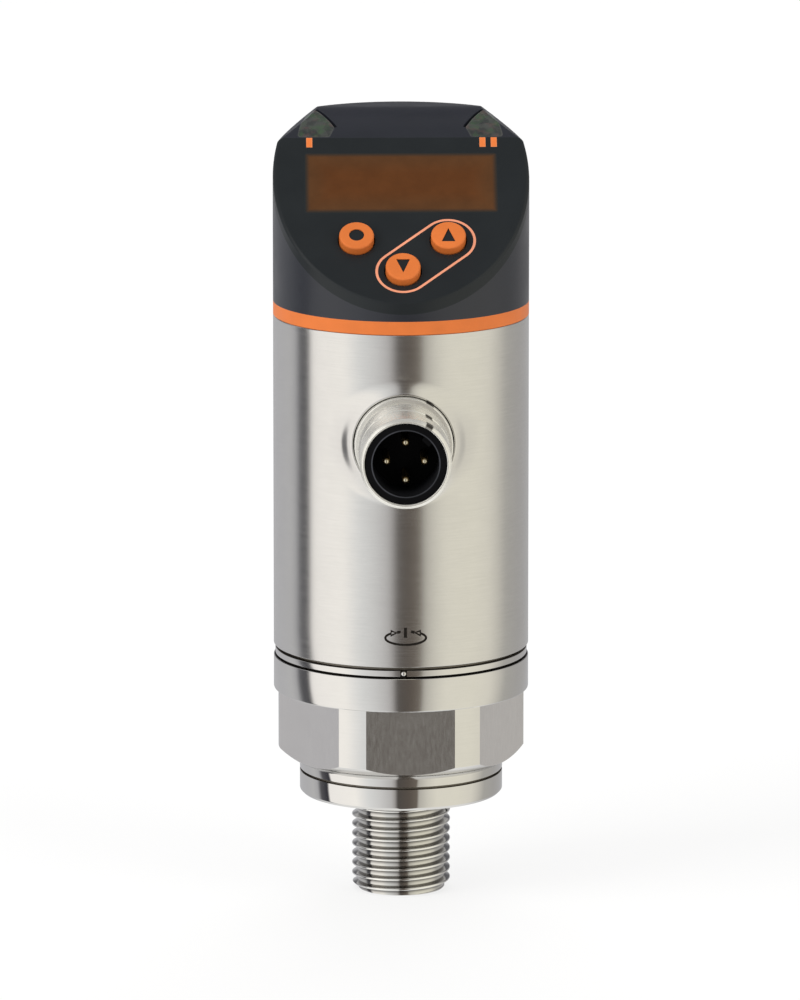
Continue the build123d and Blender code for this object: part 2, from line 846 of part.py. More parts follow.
def make_connector_insert():
    """Plastic insert with a round socket and a coding rib, drilled for the contacts."""
    outer = connector_bore_diameter / 2 - insert_clearance
    rear = connector_rear_bore_diameter / 2 - insert_clearance
    front_end = connector_face - insert_setback
    step = connector_bore_step + insert_clearance
    floor = connector_face - socket_depth
    socket = socket_diameter / 2
    body = turned([
        (0, connector_rear),
        (rear, connector_rear),
        (rear, step),
        (outer, step),
        (outer, front_end),
        (socket, front_end),
        (socket, floor),
        (0, floor),
    ])
    rib_length = connector_face - key_setback - floor
    rib = Pos(socket, 0, floor) * block(key_height * 2, key_width, rib_length)
    body += Rot(Z=key_angle) * rib & make_contact(floor, front_end, outer)
    for angle in contact_angles():
        radius = contact_diameter / 2 + insert_clearance
        drill = make_contact(connector_rear, floor, radius)
        body -= Rot(Z=angle) * Pos(contact_circle / 2, 0, 0) * drill
    return Pos(0, 0, connector_z) * Rot(X=90) * body


def make_contact_pins():
    """Round-tipped contacts through the insert."""
    tip = connector_face - socket_depth + contact_reach
    tail = connector_rear - contact_tail
    pins = Part()
    for angle in contact_angles():
        pin = make_contact(tail, tip, contact_diameter / 2)
        pin = fillet(pin.edges().group_by(Axis.Z)[-1], contact_diameter * contact_tip_share)
        pins += Rot(Z=angle) * Pos(contact_circle / 2, 0, 0) * pin
    return Pos(0, 0, connector_z) * Rot(X=90) * pins


def make_connector_board():
    """Round board behind the connector, drilled for the contacts' tails."""
    top = connector_rear - connector_board_gap
    board = make_contact(top - connector_board_thickness, top, connector_board_diameter / 2)
    for angle in contact_angles():
        radius = contact_diameter / 2 + insert_clearance
        drill = make_contact(top - connector_board_thickness, top, radius)
        board -= Rot(Z=angle) * Pos(contact_circle / 2, 0, 0) * drill
    return Pos(0, 0, connector_z) * Rot(X=90) * board


def make_connector_ribbon():
    """Flat lead from the connector's board back to the main board."""
    front = -(connector_rear - connector_board_gap - connector_board_thickness)
    strip = Box(
        connector_ribbon_width,
        main_board_y - front,
        ribbon_thickness,
        align=(Align.CENTER, Align.MIN, Align.CENTER),
    )
    return Pos(0, front, connector_z - connector_ribbon_drop) * strip


def make_main_board():
    """Upright board in the housing."""
    height = main_board_top_z - main_board_bottom_z
    board = block(main_board_width, main_board_thickness, height)
    return Pos(0, main_board_y + main_board_thickness / 2, main_board_bottom_z) * board


def make_board_components():
    """Chips and a capacitor on the two sides of the main board."""
    rear = main_board_y + main_board_thickness
    half = main_board_width / 2
    processor = Box(processor_size, processor_height, processor_size)
    converter = Box(converter_width, converter_height, converter_length)
    capacitor = Box(capacitor_width, capacitor_height, capacitor_length)
    amplifier = Box(amplifier_size, amplifier_height, amplifier_size)
    driver = Box(driver_width, driver_height, driver_length)
    parts = Part()
    parts += Pos(processor_inset - half, rear + processor_height / 2, processor_rise) * processor
    parts += Pos(half - converter_inset, rear + converter_height / 2, converter_rise) * converter
    parts += Pos(half - capacitor_inset, rear + capacitor_height / 2, capacitor_rise) * capacitor
    parts += Pos(amplifier_inset - half, main_board_y - amplifier_height / 2, front_chip_rise) * amplifier
    parts += Pos(half - driver_inset, main_board_y - driver_height / 2, front_chip_rise) * driver
    return Pos(0, 0, main_board_bottom_z) * parts


def make_lead_socket():
    """Socket on the main board over the end of the cell's lead."""
    body = block(socket_block_width, socket_block_depth, socket_block_height)
    centre_y = main_board_y - socket_block_depth / 2
    return Pos(0, centre_y, main_board_bottom_z + 2 * lead_gap) * body


def make_board_carrier():
    """Base ring with two slotted posts that hold the main board."""
    base_z = neck_top_z + carrier_gap
    carrier = tube(spigot_radius, spigot_radius - carrier_ring_width, carrier_base_height, base_z)
    height = spigot_bottom_z - base_z
    middle_y = main_board_y + main_board_thickness / 2
    post = block(carrier_post_width, carrier_post_depth, height)
    for side in (-1, 1):
        placed = Pos(side * (spigot_radius - carrier_post_inset), middle_y, base_z) * post
        carrier += placed & disc(spigot_radius, height, base_z)
    slot_width = main_board_width + 2 * board_edge_clearance
    slot_depth = main_board_thickness + 2 * carrier_slot_clearance
    slot = block(slot_width, slot_depth, spigot_bottom_z - main_board_bottom_z)
    return carrier - Pos(0, middle_y, main_board_bottom_z) * slot


def make_display_ribbon():
    """Flat lead from the main board up to the display board."""
    near = main_board_y + main_board_thickness
    depth = display_board_depth + display_board_thickness
    underside = face_axis_z - depth / math.cos(slope) + math.tan(slope) * near
    bottom = main_board_top_z - ribbon_overlap
    strip = block(ribbon_width, ribbon_thickness, underside - bottom)
    return Pos(0, near + ribbon_thickness / 2, bottom) * strip


button_places = {
    "ring": (-button_spread, button_row),
    "up": (button_spread, button_row),
    "down": (0, button_low_row),
}
button_symbols = {
    "ring": Circle(ring_symbol_diameter / 2),
    "up": arrow(1),
    "down": arrow(-1),
}
cover_block = Box(
    cutter_reach * 2,
    cutter_reach * 2,
    cutter_reach,
    align=(Align.CENTER, Align.MAX, Align.MIN),
)
cover_zone = on_face(0, cover_edge, -cover_thickness, cover_block)
head_block = make_head_block()

nodes = {
    "process_connection": make_process_connection(),
    "port_seal": make_port_seal(),
    "cell_seal": make_cell_seal(),
    "sensor_cell": make_sensor_cell(),
    "cell_support_ring": make_cell_support_ring(),
    "cell_retaining_ring": make_cell_retaining_ring(),
    "cell_board": make_cell_board(),
    "cell_lead": make_cell_lead(),
    "housing_seal": make_housing_seal(),
    "retaining_clip": make_retaining_clip(),
    "stop_pin": make_stop_pin(),
    "base_ring": make_base_ring(),
    "housing_sleeve": make_housing_sleeve(),
    "accent_ring": make_accent_ring(),
    "head_housing": make_head_housing(),
    "front_cover": make_front_cover(),
    "display_window": window_plate(),
    "button_outline": outline_ring(outline_width),
    "switch_marks": Part() + mark_bars(),
    "display_module": make_display_module(),
    "display_board": make_display_board(),
    "display_ribbon": make_display_ribbon(),
    "tact_switches": make_tact_switches(),
    "status_leds": make_status_leds(),
    "connector_shell": make_connector_shell(),
    "connector_seal": make_connector_seal(),
    "connector_insert": make_connector_insert(),
    "contact_pins": make_contact_pins(),
    "connector_board": make_connector_board(),
    "connector_ribbon": make_connector_ribbon(),
    "main_board": make_main_board(),
    "board_components": make_board_components(),
    "lead_socket": make_lead_socket(),
    "board_carrier": make_board_carrier(),
}
for side, name in ((-1, "left_status_lens"), (1, "right_status_lens")):
    nodes[name] = (head_block & make_lens_prism(side)) - cover_zone
for name, (x, row) in button_places.items():
    nodes[name + "_button"] = make_button(x, row, button_symbols[name])
    nodes[name + "_button_core"] = make_button_core(x, row, button_symbols[name])

for name, shape in nodes.items():
    export_step(shape, "parts/" + name + ".step")
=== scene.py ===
import json
import math

import bmesh
import bpy
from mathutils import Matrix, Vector


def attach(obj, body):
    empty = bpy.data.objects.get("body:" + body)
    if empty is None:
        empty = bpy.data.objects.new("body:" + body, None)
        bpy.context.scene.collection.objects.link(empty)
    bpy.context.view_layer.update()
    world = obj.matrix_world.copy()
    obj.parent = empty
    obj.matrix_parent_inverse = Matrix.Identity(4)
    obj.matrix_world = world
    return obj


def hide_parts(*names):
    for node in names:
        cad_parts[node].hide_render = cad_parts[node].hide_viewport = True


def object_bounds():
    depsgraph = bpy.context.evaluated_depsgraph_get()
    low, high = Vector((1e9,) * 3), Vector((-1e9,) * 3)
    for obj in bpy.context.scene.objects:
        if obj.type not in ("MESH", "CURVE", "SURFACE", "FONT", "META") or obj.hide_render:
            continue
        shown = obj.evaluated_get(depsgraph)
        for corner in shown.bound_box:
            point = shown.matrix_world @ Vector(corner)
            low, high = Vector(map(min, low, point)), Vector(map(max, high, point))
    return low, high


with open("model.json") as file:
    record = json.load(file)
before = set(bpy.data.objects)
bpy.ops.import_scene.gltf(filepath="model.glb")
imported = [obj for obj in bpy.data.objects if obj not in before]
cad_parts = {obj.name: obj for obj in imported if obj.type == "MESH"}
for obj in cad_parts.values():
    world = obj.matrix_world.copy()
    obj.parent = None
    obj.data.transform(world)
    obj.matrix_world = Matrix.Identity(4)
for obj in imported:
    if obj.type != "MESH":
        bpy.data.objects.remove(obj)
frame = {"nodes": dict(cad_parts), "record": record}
cad_low, cad_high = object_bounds()

# Metres in the scene and in the finishes, millimetres in the meshes that are made here. The sensor's
# axis is Z, and its display and its plug connector face -Y.
MM = 0.001
NODES = frame["nodes"]

# Camera, from the photograph's frame of 800 by 1000
PHOTO_WIDTH = 800
PHOTO_HEIGHT = 1000
AXIS_PIXEL_X = 401
CAMERA_DISTANCE = 1.3
CAMERA_ELEVATION = math.radians(11.35)
CAMERA_AZIMUTH = math.radians(-1.2)
CAMERA_AIM_Z = 0.03945
PIXELS_PER_METRE = 7500
SENSOR = 36.0
CAMERA_CLIP = (0.05, 20.0)


def towards(azimuth, elevation):
    """Unit vector out from the sensor; azimuth runs from the front towards +X, in radians."""
    flat = math.cos(elevation)
    return Vector((math.sin(azimuth) * flat, -math.cos(azimuth) * flat, math.sin(elevation)))


def stand(thing, spot, away):
    """Puts a camera or a lamp at a spot, looking back against the direction away."""
    bpy.context.scene.collection.objects.link(thing)
    thing.location = spot
    thing.rotation_mode = "QUATERNION"
    thing.rotation_quaternion = (-away).to_track_quat("-Z", "Y")


def make_camera():
    """Long lens at the photograph's angle, aimed so that the axis falls on its pixel."""
    data = bpy.data.cameras.new("camera")
    data.sensor_width = SENSOR
    data.lens = PIXELS_PER_METRE * CAMERA_DISTANCE / PHOTO_HEIGHT * SENSOR
    data.clip_start, data.clip_end = CAMERA_CLIP
    camera = bpy.data.objects.new("camera", data)
    offset = (PHOTO_WIDTH / 2 - AXIS_PIXEL_X) / PIXELS_PER_METRE
    x, y = offset * math.cos(CAMERA_AZIMUTH), offset * math.sin(CAMERA_AZIMUTH)
    away = towards(CAMERA_AZIMUTH, CAMERA_ELEVATION)
    stand(camera, Vector((x, y, CAMERA_AIM_Z)) + away * CAMERA_DISTANCE, away)
    bpy.context.scene.camera = camera


# Node helpers


def place(tree, kind, **settings):
    """A node with its settings; a key that names an input sets or links that input."""
    node = tree.nodes.new(kind)
    for key, value in settings.items():
        if hasattr(node, key):
            setattr(node, key, value)
        else:
            feed(tree, node.inputs[key.replace("_", " ")], value)
    return node


def feed(tree, socket, value):
    """Links an output to a socket, or sets the socket's own value."""
    if isinstance(value, bpy.types.NodeSocket):
        tree.links.new(value, socket)
    else:
        socket.default_value = value


def maths(tree, operation, first, second=0.0, third=0.0, clamp=False):
    """One Math node."""
    node = tree.nodes.new("ShaderNodeMath")
    node.operation = operation
    node.use_clamp = clamp
    for socket, value in zip(node.inputs, (first, second, third)):
        feed(tree, socket, value)
    return node.outputs[0]


def ramp(tree, value, stops, smooth=False):
    """Colour ramp from (position, colour) stops."""
    node = tree.nodes.new("ShaderNodeValToRGB")
    node.color_ramp.interpolation = "EASE" if smooth else "LINEAR"
    elements = node.color_ramp.elements
    while len(elements) < len(stops):
        elements.new(1.0)
    for element, (position, colour) in zip(elements, stops):
        element.position = position
        element.color = (*colour, 1.0)
    feed(tree, node.inputs["Fac"], value)
    return node.outputs["Color"]


def span(tree, value, low, high, out_low=0.0, out_high=1.0, smooth=True):
    """Map Range node, clamped."""
    node = tree.nodes.new("ShaderNodeMapRange")
    node.interpolation_type = "SMOOTHSTEP" if smooth else "LINEAR"
    names = ("Value", "From Min", "From Max", "To Min", "To Max")
    for name, number in zip(names, (value, low, high, out_low, out_high)):
        feed(tree, node.inputs[name], number)
    return node.outputs["Result"]


def within(tree, value, low, high, soft):
    """One between two limits and zero outside them, with soft ends."""
    rise = span(tree, value, low - soft, low + soft)
    return maths(tree, "MULTIPLY", rise, span(tree, value, high - soft, high + soft, 1.0, 0.0))


def length(tree, first, second):
    """Length of a vector with these two parts."""
    squared = maths(tree, "MULTIPLY", second, second)
    return maths(tree, "SQRT", maths(tree, "MULTIPLY_ADD", first, first, squared))


# Places of a Mix node's colour sockets, after those for its other kinds of data
MIX_COLOURS_IN = (6, 7)
MIX_COLOUR_OUT = 2


def blend_colours(tree, factor, first, second, mode="MIX"):
    """Mix node for two colours."""
    node = tree.nodes.new("ShaderNodeMix")
    node.data_type = "RGBA"
    node.blend_type = mode
    feed(tree, node.inputs["Factor"], factor)
    for socket, colour in zip(MIX_COLOURS_IN, (first, second)):
        linked = isinstance(colour, bpy.types.NodeSocket)
        feed(tree, node.inputs[socket], colour if linked else (*colour, 1.0))
    return node.outputs[MIX_COLOUR_OUT]


def object_point(tree):
    """The shaded point in its object's own frame."""
    return place(tree, "ShaderNodeTexCoord").outputs["Object"]


def object_axes(tree):
    """X, Y and Z of the shaded point."""
    return place(tree, "ShaderNodeSeparateXYZ", Vector=object_point(tree)).outputs


def seen_directly(tree):
    """One for camera, glossy and transmission rays, which all see the pale background."""
    path = tree.nodes.new("ShaderNodeLightPath")
    direct = maths(tree, "MAXIMUM", path.outputs["Is Camera Ray"], path.outputs["Is Glossy Ray"])
    return path, maths(tree, "MAXIMUM", direct, path.outputs["Is Transmission Ray"])


# Studio

# Brightness of the studio walls round the object, by azimuth in degrees from the front towards +X
STUDIO_WALLS = [
    (-180, (0.50, 0.50, 0.52)),
    (-135, (0.56, 0.56, 0.58)),
    (-120, (0.60, 0.60, 0.61)),
    (-111, (0.52, 0.52, 0.54)),
    (-105, (0.12, 0.12, 0.13)),
    (-93, (0.04, 0.04, 0.05)),
    (-90, (1.14, 1.11, 1.08)),
    (-54, (1.20, 1.17, 1.12)),
    (-46, (1.06, 1.05, 1.03)),
    (-38, (0.92, 0.93, 0.93)),
    (-25, (0.80, 0.80, 0.80)),
    (-12, (0.62, 0.61, 0.61)),
    (-8, (0.44, 0.42, 0.41)),
    (-5, (0.10, 0.09, 0.083)),
    (8, (0.13, 0.109, 0.093)),
    (17, (0.19, 0.163, 0.137)),
    (19, (0.58, 0.56, 0.51)),
    (30, (0.81, 0.785, 0.70)),
    (40, (0.93, 0.90, 0.79)),
    (66, (0.94, 0.91, 0.79)),
    (86, (0.87, 0.84, 0.745)),
    (97, (0.71, 0.685, 0.62)),
    (108, (0.50, 0.49, 0.46)),
    (130, (0.46, 0.45, 0.44)),
    (180, (0.50, 0.50, 0.52)),
]
WHITE = (1.0, 1.0, 1.0)
AMBIENT = (0.62, 0.62, 0.62)
ZENITH = (0.30, 0.30, 0.31)
ZENITH_Z = (0.72, 0.97)
# The bright field below ends at a dark gap in front
UNDERFOOT = (0.95, 0.95, 0.94)
UNDERFOOT_Z = (-0.45, -0.85)
FRONT_GAP = (math.radians(-6), math.radians(18))
FRONT_GAP_SOFT = math.radians(2)
# Dark upper wall behind
REAR_HIGH = (0.12, 0.12, 0.13)
REAR_HIGH_Y = (0.25, 0.75)
REAR_HIGH_Z = (0.03, 0.30)


def make_world():
    """White to the camera, studio walls to metal and glass, and even soft light to all else."""
    world = bpy.data.worlds.new("studio")
    bpy.context.scene.world = world
    world.use_nodes = True
    world.cycles.sampling_method = "NONE"
    tree = world.node_tree
    tree.nodes.clear()
    direction = place(tree, "ShaderNodeTexCoord").outputs["Generated"]
    x, y, z = place(tree, "ShaderNodeSeparateXYZ", Vector=direction).outputs
    azimuth = maths(tree, "ARCTAN2", x, maths(tree, "MULTIPLY", y, -1.0))
    turn = maths(tree, "MULTIPLY_ADD", azimuth, 1 / (2 * math.pi), 0.5)
    walls = ramp(tree, turn, [(angle / 360 + 0.5, colour) for angle, colour in STUDIO_WALLS])
    rear_high = maths(tree, "MULTIPLY", span(tree, y, *REAR_HIGH_Y), span(tree, z, *REAR_HIGH_Z))
    sides = blend_colours(tree, rear_high, walls, REAR_HIGH)
    roofed = blend_colours(tree, span(tree, z, *ZENITH_Z), sides, ZENITH)
    lit = maths(tree, "SUBTRACT", 1.0, within(tree, azimuth, *FRONT_GAP, FRONT_GAP_SOFT))
    under = maths(tree, "MULTIPLY", span(tree, z, *UNDERFOOT_Z), lit)
    studio = blend_colours(tree, under, roofed, UNDERFOOT)
    path, direct = seen_directly(tree)
    seen = blend_colours(tree, path.outputs["Is Camera Ray"], studio, WHITE)
    colour = blend_colours(tree, direct, AMBIENT, seen)
    background = place(tree, "ShaderNodeBackground", Color=colour, Strength=1.0)
    output = place(tree, "ShaderNodeOutputWorld")
    tree.links.new(background.outputs[0], output.inputs["Surface"])


FLOOR_HALF = 3.0
FLOOR_COLOUR = (0.88, 0.88, 0.88)
FLOOR_WHITE_SHARE = 0.72


def make_floor():
    """Pale floor under the thread's end: mostly plain white when seen, with a soft shadow left in."""
    mesh = bpy.data.meshes.new("floor")
    half = FLOOR_HALF
    corners = [(-half, -half), (half, -half), (half, half), (-half, half)]
    mesh.from_pydata([(x, y, cad_low.z) for x, y in corners], [], [(0, 1, 2, 3)])
    floor = bpy.data.objects.new("floor", mesh)
    bpy.context.scene.collection.objects.link(floor)
    material = bpy.data.materials.new("pale_floor")
    material.use_nodes = True
    tree = material.node_tree
    tree.nodes.clear()
    lit = place(tree, "ShaderNodeBsdfDiffuse", Color=(*FLOOR_COLOUR, 1.0))
    white = place(tree, "ShaderNodeEmission", Color=(*WHITE, 1.0), Strength=1.0)
    direct = seen_directly(tree)[1]
    mix = place(tree, "ShaderNodeMixShader", Fac=maths(tree, "MULTIPLY", direct, FLOOR_WHITE_SHARE))
    tree.links.new(lit.outputs[0], mix.inputs[1])
    tree.links.new(white.outputs[0], mix.inputs[2])
    output = place(tree, "ShaderNodeOutputMaterial")
    tree.links.new(mix.outputs[0], output.inputs["Surface"])
    mesh.materials.append(material)
    floor.visible_glossy = False


# Soft boxes that look at the sensor's middle: name, azimuth from the front towards +X and elevation in
# degrees, distance, width, height, power and colour
LAMPS = [
    ("left_soft_box", -58, 32, 1.1, 0.6, 0.9, 7.0, (1.0, 0.99, 0.97)),
    ("right_soft_box", 52, 28, 1.2, 0.5, 0.9, 4.0, (1.0, 0.97, 0.92)),
    ("rear_soft_box", 172, 42, 1.2, 0.9, 0.5, 5.0, (1.0, 1.0, 1.0)),
]


def make_lamps():
    """Large soft boxes at the left front, at the right front and high behind."""
    middle = (cad_low + cad_high) / 2
    for name, azimuth, elevation, distance, width, height, power, colour in LAMPS:
        data = bpy.data.lights.new(name, "AREA")
        data.shape = "RECTANGLE"
        data.size, data.size_y = width, height
        data.energy = power
        data.color = colour
        lamp = bpy.data.objects.new(name, data)
        away = towards(math.radians(azimuth), math.radians(elevation))
        stand(lamp, middle + away * distance, away)
        lamp.visible_glossy = False


# Surface effects that several finishes share


def new_group(name, inputs, outputs):
    """Empty node group with named sockets; returns the tree, its input node and its output node."""
    tree = bpy.data.node_groups.new(name, "ShaderNodeTree")
    for label, kind, value in inputs:
        socket = tree.interface.new_socket(label, in_out="INPUT", socket_type=kind)
        socket.default_value = value
    for label, kind in outputs:
        tree.interface.new_socket(label, in_out="OUTPUT", socket_type=kind)
    return tree, tree.nodes.new("NodeGroupInput"), tree.nodes.new("NodeGroupOutput")


def noise(tree, vector, scale, detail=2.0, roughness=0.5):
    """Value of a Noise texture."""
    settings = {"Vector": vector, "Scale": scale, "Detail": detail, "Roughness": roughness}
    return place(tree, "ShaderNodeTexNoise", **settings).outputs["Fac"]


def stretched(tree, vector, scale):
    """The vector multiplied by a per-axis scale."""
    node = tree.nodes.new("ShaderNodeVectorMath")
    node.operation = "MULTIPLY"
    feed(tree, node.inputs[0], vector)
    feed(tree, node.inputs[1], scale)
    return node.outputs[0]


def group_brushed_grain():
    """Fine lines that a belt or a tool has left: short across the grain and long along it."""
    tree, entry, leave = new_group(
        "brushed_grain",
        [("Stretch", "NodeSocketVector", (300.0, 300.0, 9000.0)), ("Depth", "NodeSocketFloat", 0.5)],
        [("Line", "NodeSocketFloat"), ("Cloud", "NodeSocketFloat")],
    )
    point = object_point(tree)
    lines = noise(tree, stretched(tree, point, entry.outputs["Stretch"]), 1.0, 3.0, 0.6)
    centred = maths(tree, "SUBTRACT", lines, 0.5)
    deep = maths(tree, "MULTIPLY_ADD", centred, entry.outputs["Depth"], 0.5)
    tree.links.new(deep, leave.inputs["Line"])
    tree.links.new(noise(tree, point, 260.0, 4.0, 0.6), leave.inputs["Cloud"])
    return tree


def group_edge_wear_and_highlight():
    """Mask of the outer edges, broken up by noise: partly wear where handling has polished them, partly
    a painted highlight that lightens the edges' colour.
    """
    tree, entry, leave = new_group(
        "edge_wear_and_highlight",
        [("Width", "NodeSocketFloat", 0.0003), ("Amount", "NodeSocketFloat", 1.0)],
        [("Mask", "NodeSocketFloat")],
    )
    bevel = place(tree, "ShaderNodeBevel", samples=4)
    tree.links.new(entry.outputs["Width"], bevel.inputs["Radius"])
    dot = tree.nodes.new("ShaderNodeVectorMath")
    dot.operation = "DOT_PRODUCT"
    tree.links.new(bevel.outputs[0], dot.inputs[0])
    tree.links.new(place(tree, "ShaderNodeNewGeometry").outputs["Normal"], dot.inputs[1])
    edge = span(tree, dot.outputs["Value"], 0.995, 0.86)
    broken = span(tree, noise(tree, object_point(tree), 900.0, 3.0, 0.6), 0.35, 0.65, 0.45, 1.0)
    mask = maths(tree, "MULTIPLY", edge, broken)
    scaled = maths(tree, "MULTIPLY", mask, entry.outputs["Amount"], clamp=True)
    tree.links.new(scaled, leave.inputs["Mask"])
    return tree


def group_moulded_skin():
    """Spark-eroded mould texture: a fine pebble with faint flow clouds."""
    tree, entry, leave = new_group(
        "moulded_skin",
        [("Pebble Scale", "NodeSocketFloat", 5200.0), ("Cloud Scale", "NodeSocketFloat", 190.0)],
        [("Height", "NodeSocketFloat"), ("Cloud", "NodeSocketFloat")],
    )
    point = object_point(tree)
    scale = entry.outputs["Pebble Scale"]
    pebble = place(tree, "ShaderNodeTexVoronoi", Vector=point, Scale=scale).outputs["Distance"]
    height = maths(tree, "ADD", pebble, noise(tree, point, scale, 2.0, 0.6))
    cloud = noise(tree, point, entry.outputs["Cloud Scale"], 4.0, 0.55)
    tree.links.new(height, leave.inputs["Height"])
    tree.links.new(cloud, leave.inputs["Cloud"])
    return tree


GROUPS = {
    "grain": group_brushed_grain(),
    "edges": group_edge_wear_and_highlight(),
    "skin": group_moulded_skin(),
}


def effect(tree, name, **settings):
    """One of the shared effects, placed in a material with its own values."""
    node = tree.nodes.new("ShaderNodeGroup")
    node.node_tree = GROUPS[name]
    for key, value in settings.items():
        feed(tree, node.inputs[key.replace("_", " ")], value)
    return node


def new_finish(name):
    """Material with a Principled shader; returns the material, its tree and the shader."""
    material = bpy.data.materials.new(name)
    material.use_nodes = True
    tree = material.node_tree
    return material, tree, tree.nodes["Principled BSDF"]


def bump(tree, height, strength, distance):
    """Normal from a height."""
    node = place(tree, "ShaderNodeBump", Height=height, Strength=strength, Distance=distance)
    return node.outputs["Normal"]


def by_cloud(tree, node, low=0.0, high=1.0, spread=0.2):
    """A value between two limits that follows the clouds of a shared effect."""
    return span(tree, node.outputs["Cloud"], 0.5 - spread, 0.5 + spread, low, high)


def shaded(tree, colour, level):
    """Colour multiplied by a level."""
    return blend_colours(tree, 1.0, colour, level, "MULTIPLY")


def dress(tree, shader, colour, roughness, normal=None, **values):
    """Feeds the shader's colour, roughness and normal, and sets its other values."""
    feed(tree, shader.inputs["Base Color"], colour)
    feed(tree, shader.inputs["Roughness"], roughness)
    if normal is not None:
        feed(tree, shader.inputs["Normal"], normal)
    for label, value in values.items():
        shader.inputs[label.replace("_", " ")].default_value = value


# Finishes


def steel_finish(name, colour, roughness, anisotropy, stretch, depth, grain_bump, metallic=1.0):
    """Stainless steel with belt or tool lines, cloudy lustre, and edges that are partly polished and
    partly lightened as a painted highlight.
    """
    material, tree, shader = new_finish(name)
    grain = effect(tree, "grain", Stretch=stretch, Depth=depth)
    edges = effect(tree, "edges", Width=0.00025, Amount=0.8)
    line = grain.outputs["Line"]
    lines = span(tree, line, 0.25, 0.75, 0.93, 1.0, smooth=False)
    worked = shaded(tree, colour, maths(tree, "MULTIPLY", lines, by_cloud(tree, grain, 0.975, 1.0)))
    # Edge colour: partly polish, partly a painted highlight
    polished_edge_highlight = tuple(min(1.0, part * 1.12) for part in colour)
    dress(
        tree, shader, blend_colours(tree, edges.outputs["Mask"], worked, polished_edge_highlight),
        span(tree, line, 0.2, 0.8, roughness * 0.82, roughness * 1.2, smooth=False),
        bump(tree, line, grain_bump, 0.00002), Metallic=metallic, Anisotropic=anisotropy,
    )
    return material


def plastic_finish(name, colour, roughness, skin_bump, specular=0.5, edge_highlight_lift=1.6, rim=None):
    """Moulded plastic with a fine skin, slight colour clouds, and lighter edges that are partly rubbed
    and partly a painted highlight.
    """
    material, tree, shader = new_finish(name)
    skin = effect(tree, "skin", Pebble_Scale=5200.0)
    edges = effect(tree, "edges", Width=0.00018, Amount=0.6)
    darker = tuple(part * 0.9 for part in colour)
    # Edge colour: partly rubbed, partly a painted highlight
    edge_wear_highlight = rim or tuple(min(1.0, part * edge_highlight_lift + 0.004) for part in colour)
    body = blend_colours(tree, by_cloud(tree, skin), darker, colour)
    dress(
        tree, shader, blend_colours(tree, edges.outputs["Mask"], body, edge_wear_highlight),
        by_cloud(tree, skin, roughness * 0.9, roughness * 1.1),
        bump(tree, skin.outputs["Height"], skin_bump, SKIN_RELIEF),
        Specular_IOR_Level=specular, IOR=1.42,
    )
    return material


def face_row(tree):
    """X and the distance up the slanted face of a point on it."""
    x, y, z = object_axes(tree)
    rise = maths(tree, "MULTIPLY", maths(tree, "SUBTRACT", z, FACE_AXIS_Z), math.sin(FACE_SLOPE))
    return x, maths(tree, "MULTIPLY_ADD", y, math.cos(FACE_SLOPE), rise)


SKIN_RELIEF = 0.00003
# Slanted face: its slope, and the height at which it meets the axis
FACE_SLOPE = math.radians(40.53)
FACE_AXIS_Z = 0.08370
# Window: half its width and height, its middle's distance up the face, and how far its edge fades in
WINDOW_HALF = (0.0127, 0.005095)
WINDOW_ROW = -0.00178
WINDOW_FADE = (0.0, 0.00075)
WINDOW_MIDDLE = (0.0005, 0.004)
# Plug: its axis in millimetres, and its contacts, socket, and the painted shade of its notches
PLUG_Z = 50.3
PIN_CIRCLE = 0.0025
# Radii of the painted highlight at each pin's tip, from full to none
PIN_PAINTED_HIGHLIGHT = (0.00012, 0.00032)
SOCKET_RIM = (0.00436, 0.00451)
SOCKET_RIM_SOFT = 0.00003
PLUG_NOTCH_SHADES = ((0.0174, 0.01842), (0.0233, 0.0256), (0.0286, 0.0306))
PLUG_NOTCH_SHADE_SOFT = 0.0001
PLUG_NOTCH_SHADE_TURNS = (math.radians(53), math.radians(63))
PLUG_NOTCH_SHADE_TURN_SOFT = 0.02
# Pipe thread: its reach from root to crest, and its pitch and end in millimetres
THREAD_REACH = (0.00585, 0.0065)
PIPE_PITCH = 1.337
PIPE_END = -13.4


def window_finish():
    """Amber window over the display: faintly cloudy, and darker where its border fades in."""
    material, tree, shader = new_finish("tinted_window")
    skin = effect(tree, "skin", Pebble_Scale=2600.0, Cloud_Scale=330.0)
    x, row = face_row(tree)
    height = maths(tree, "ABSOLUTE", maths(tree, "SUBTRACT", row, WINDOW_ROW))
    from_side = maths(tree, "SUBTRACT", WINDOW_HALF[0], maths(tree, "ABSOLUTE", x))
    from_end = maths(tree, "SUBTRACT", WINDOW_HALF[1], height)
    inset = maths(tree, "MINIMUM", from_side, from_end)
    middle = span(tree, inset, *WINDOW_MIDDLE)
    amber = blend_colours(tree, middle, (0.088, 0.036, 0.012), (0.098, 0.033, 0.008))
    tinted = shaded(tree, amber, by_cloud(tree, skin, 0.88, 1.08, 0.25))
    clear = span(tree, inset, *WINDOW_FADE)
    dress(
        tree, shader, blend_colours(tree, clear, (0.026, 0.022, 0.018), tinted),
        by_cloud(tree, skin, 0.16, 0.22), Specular_IOR_Level=0.22,
    )
    return material


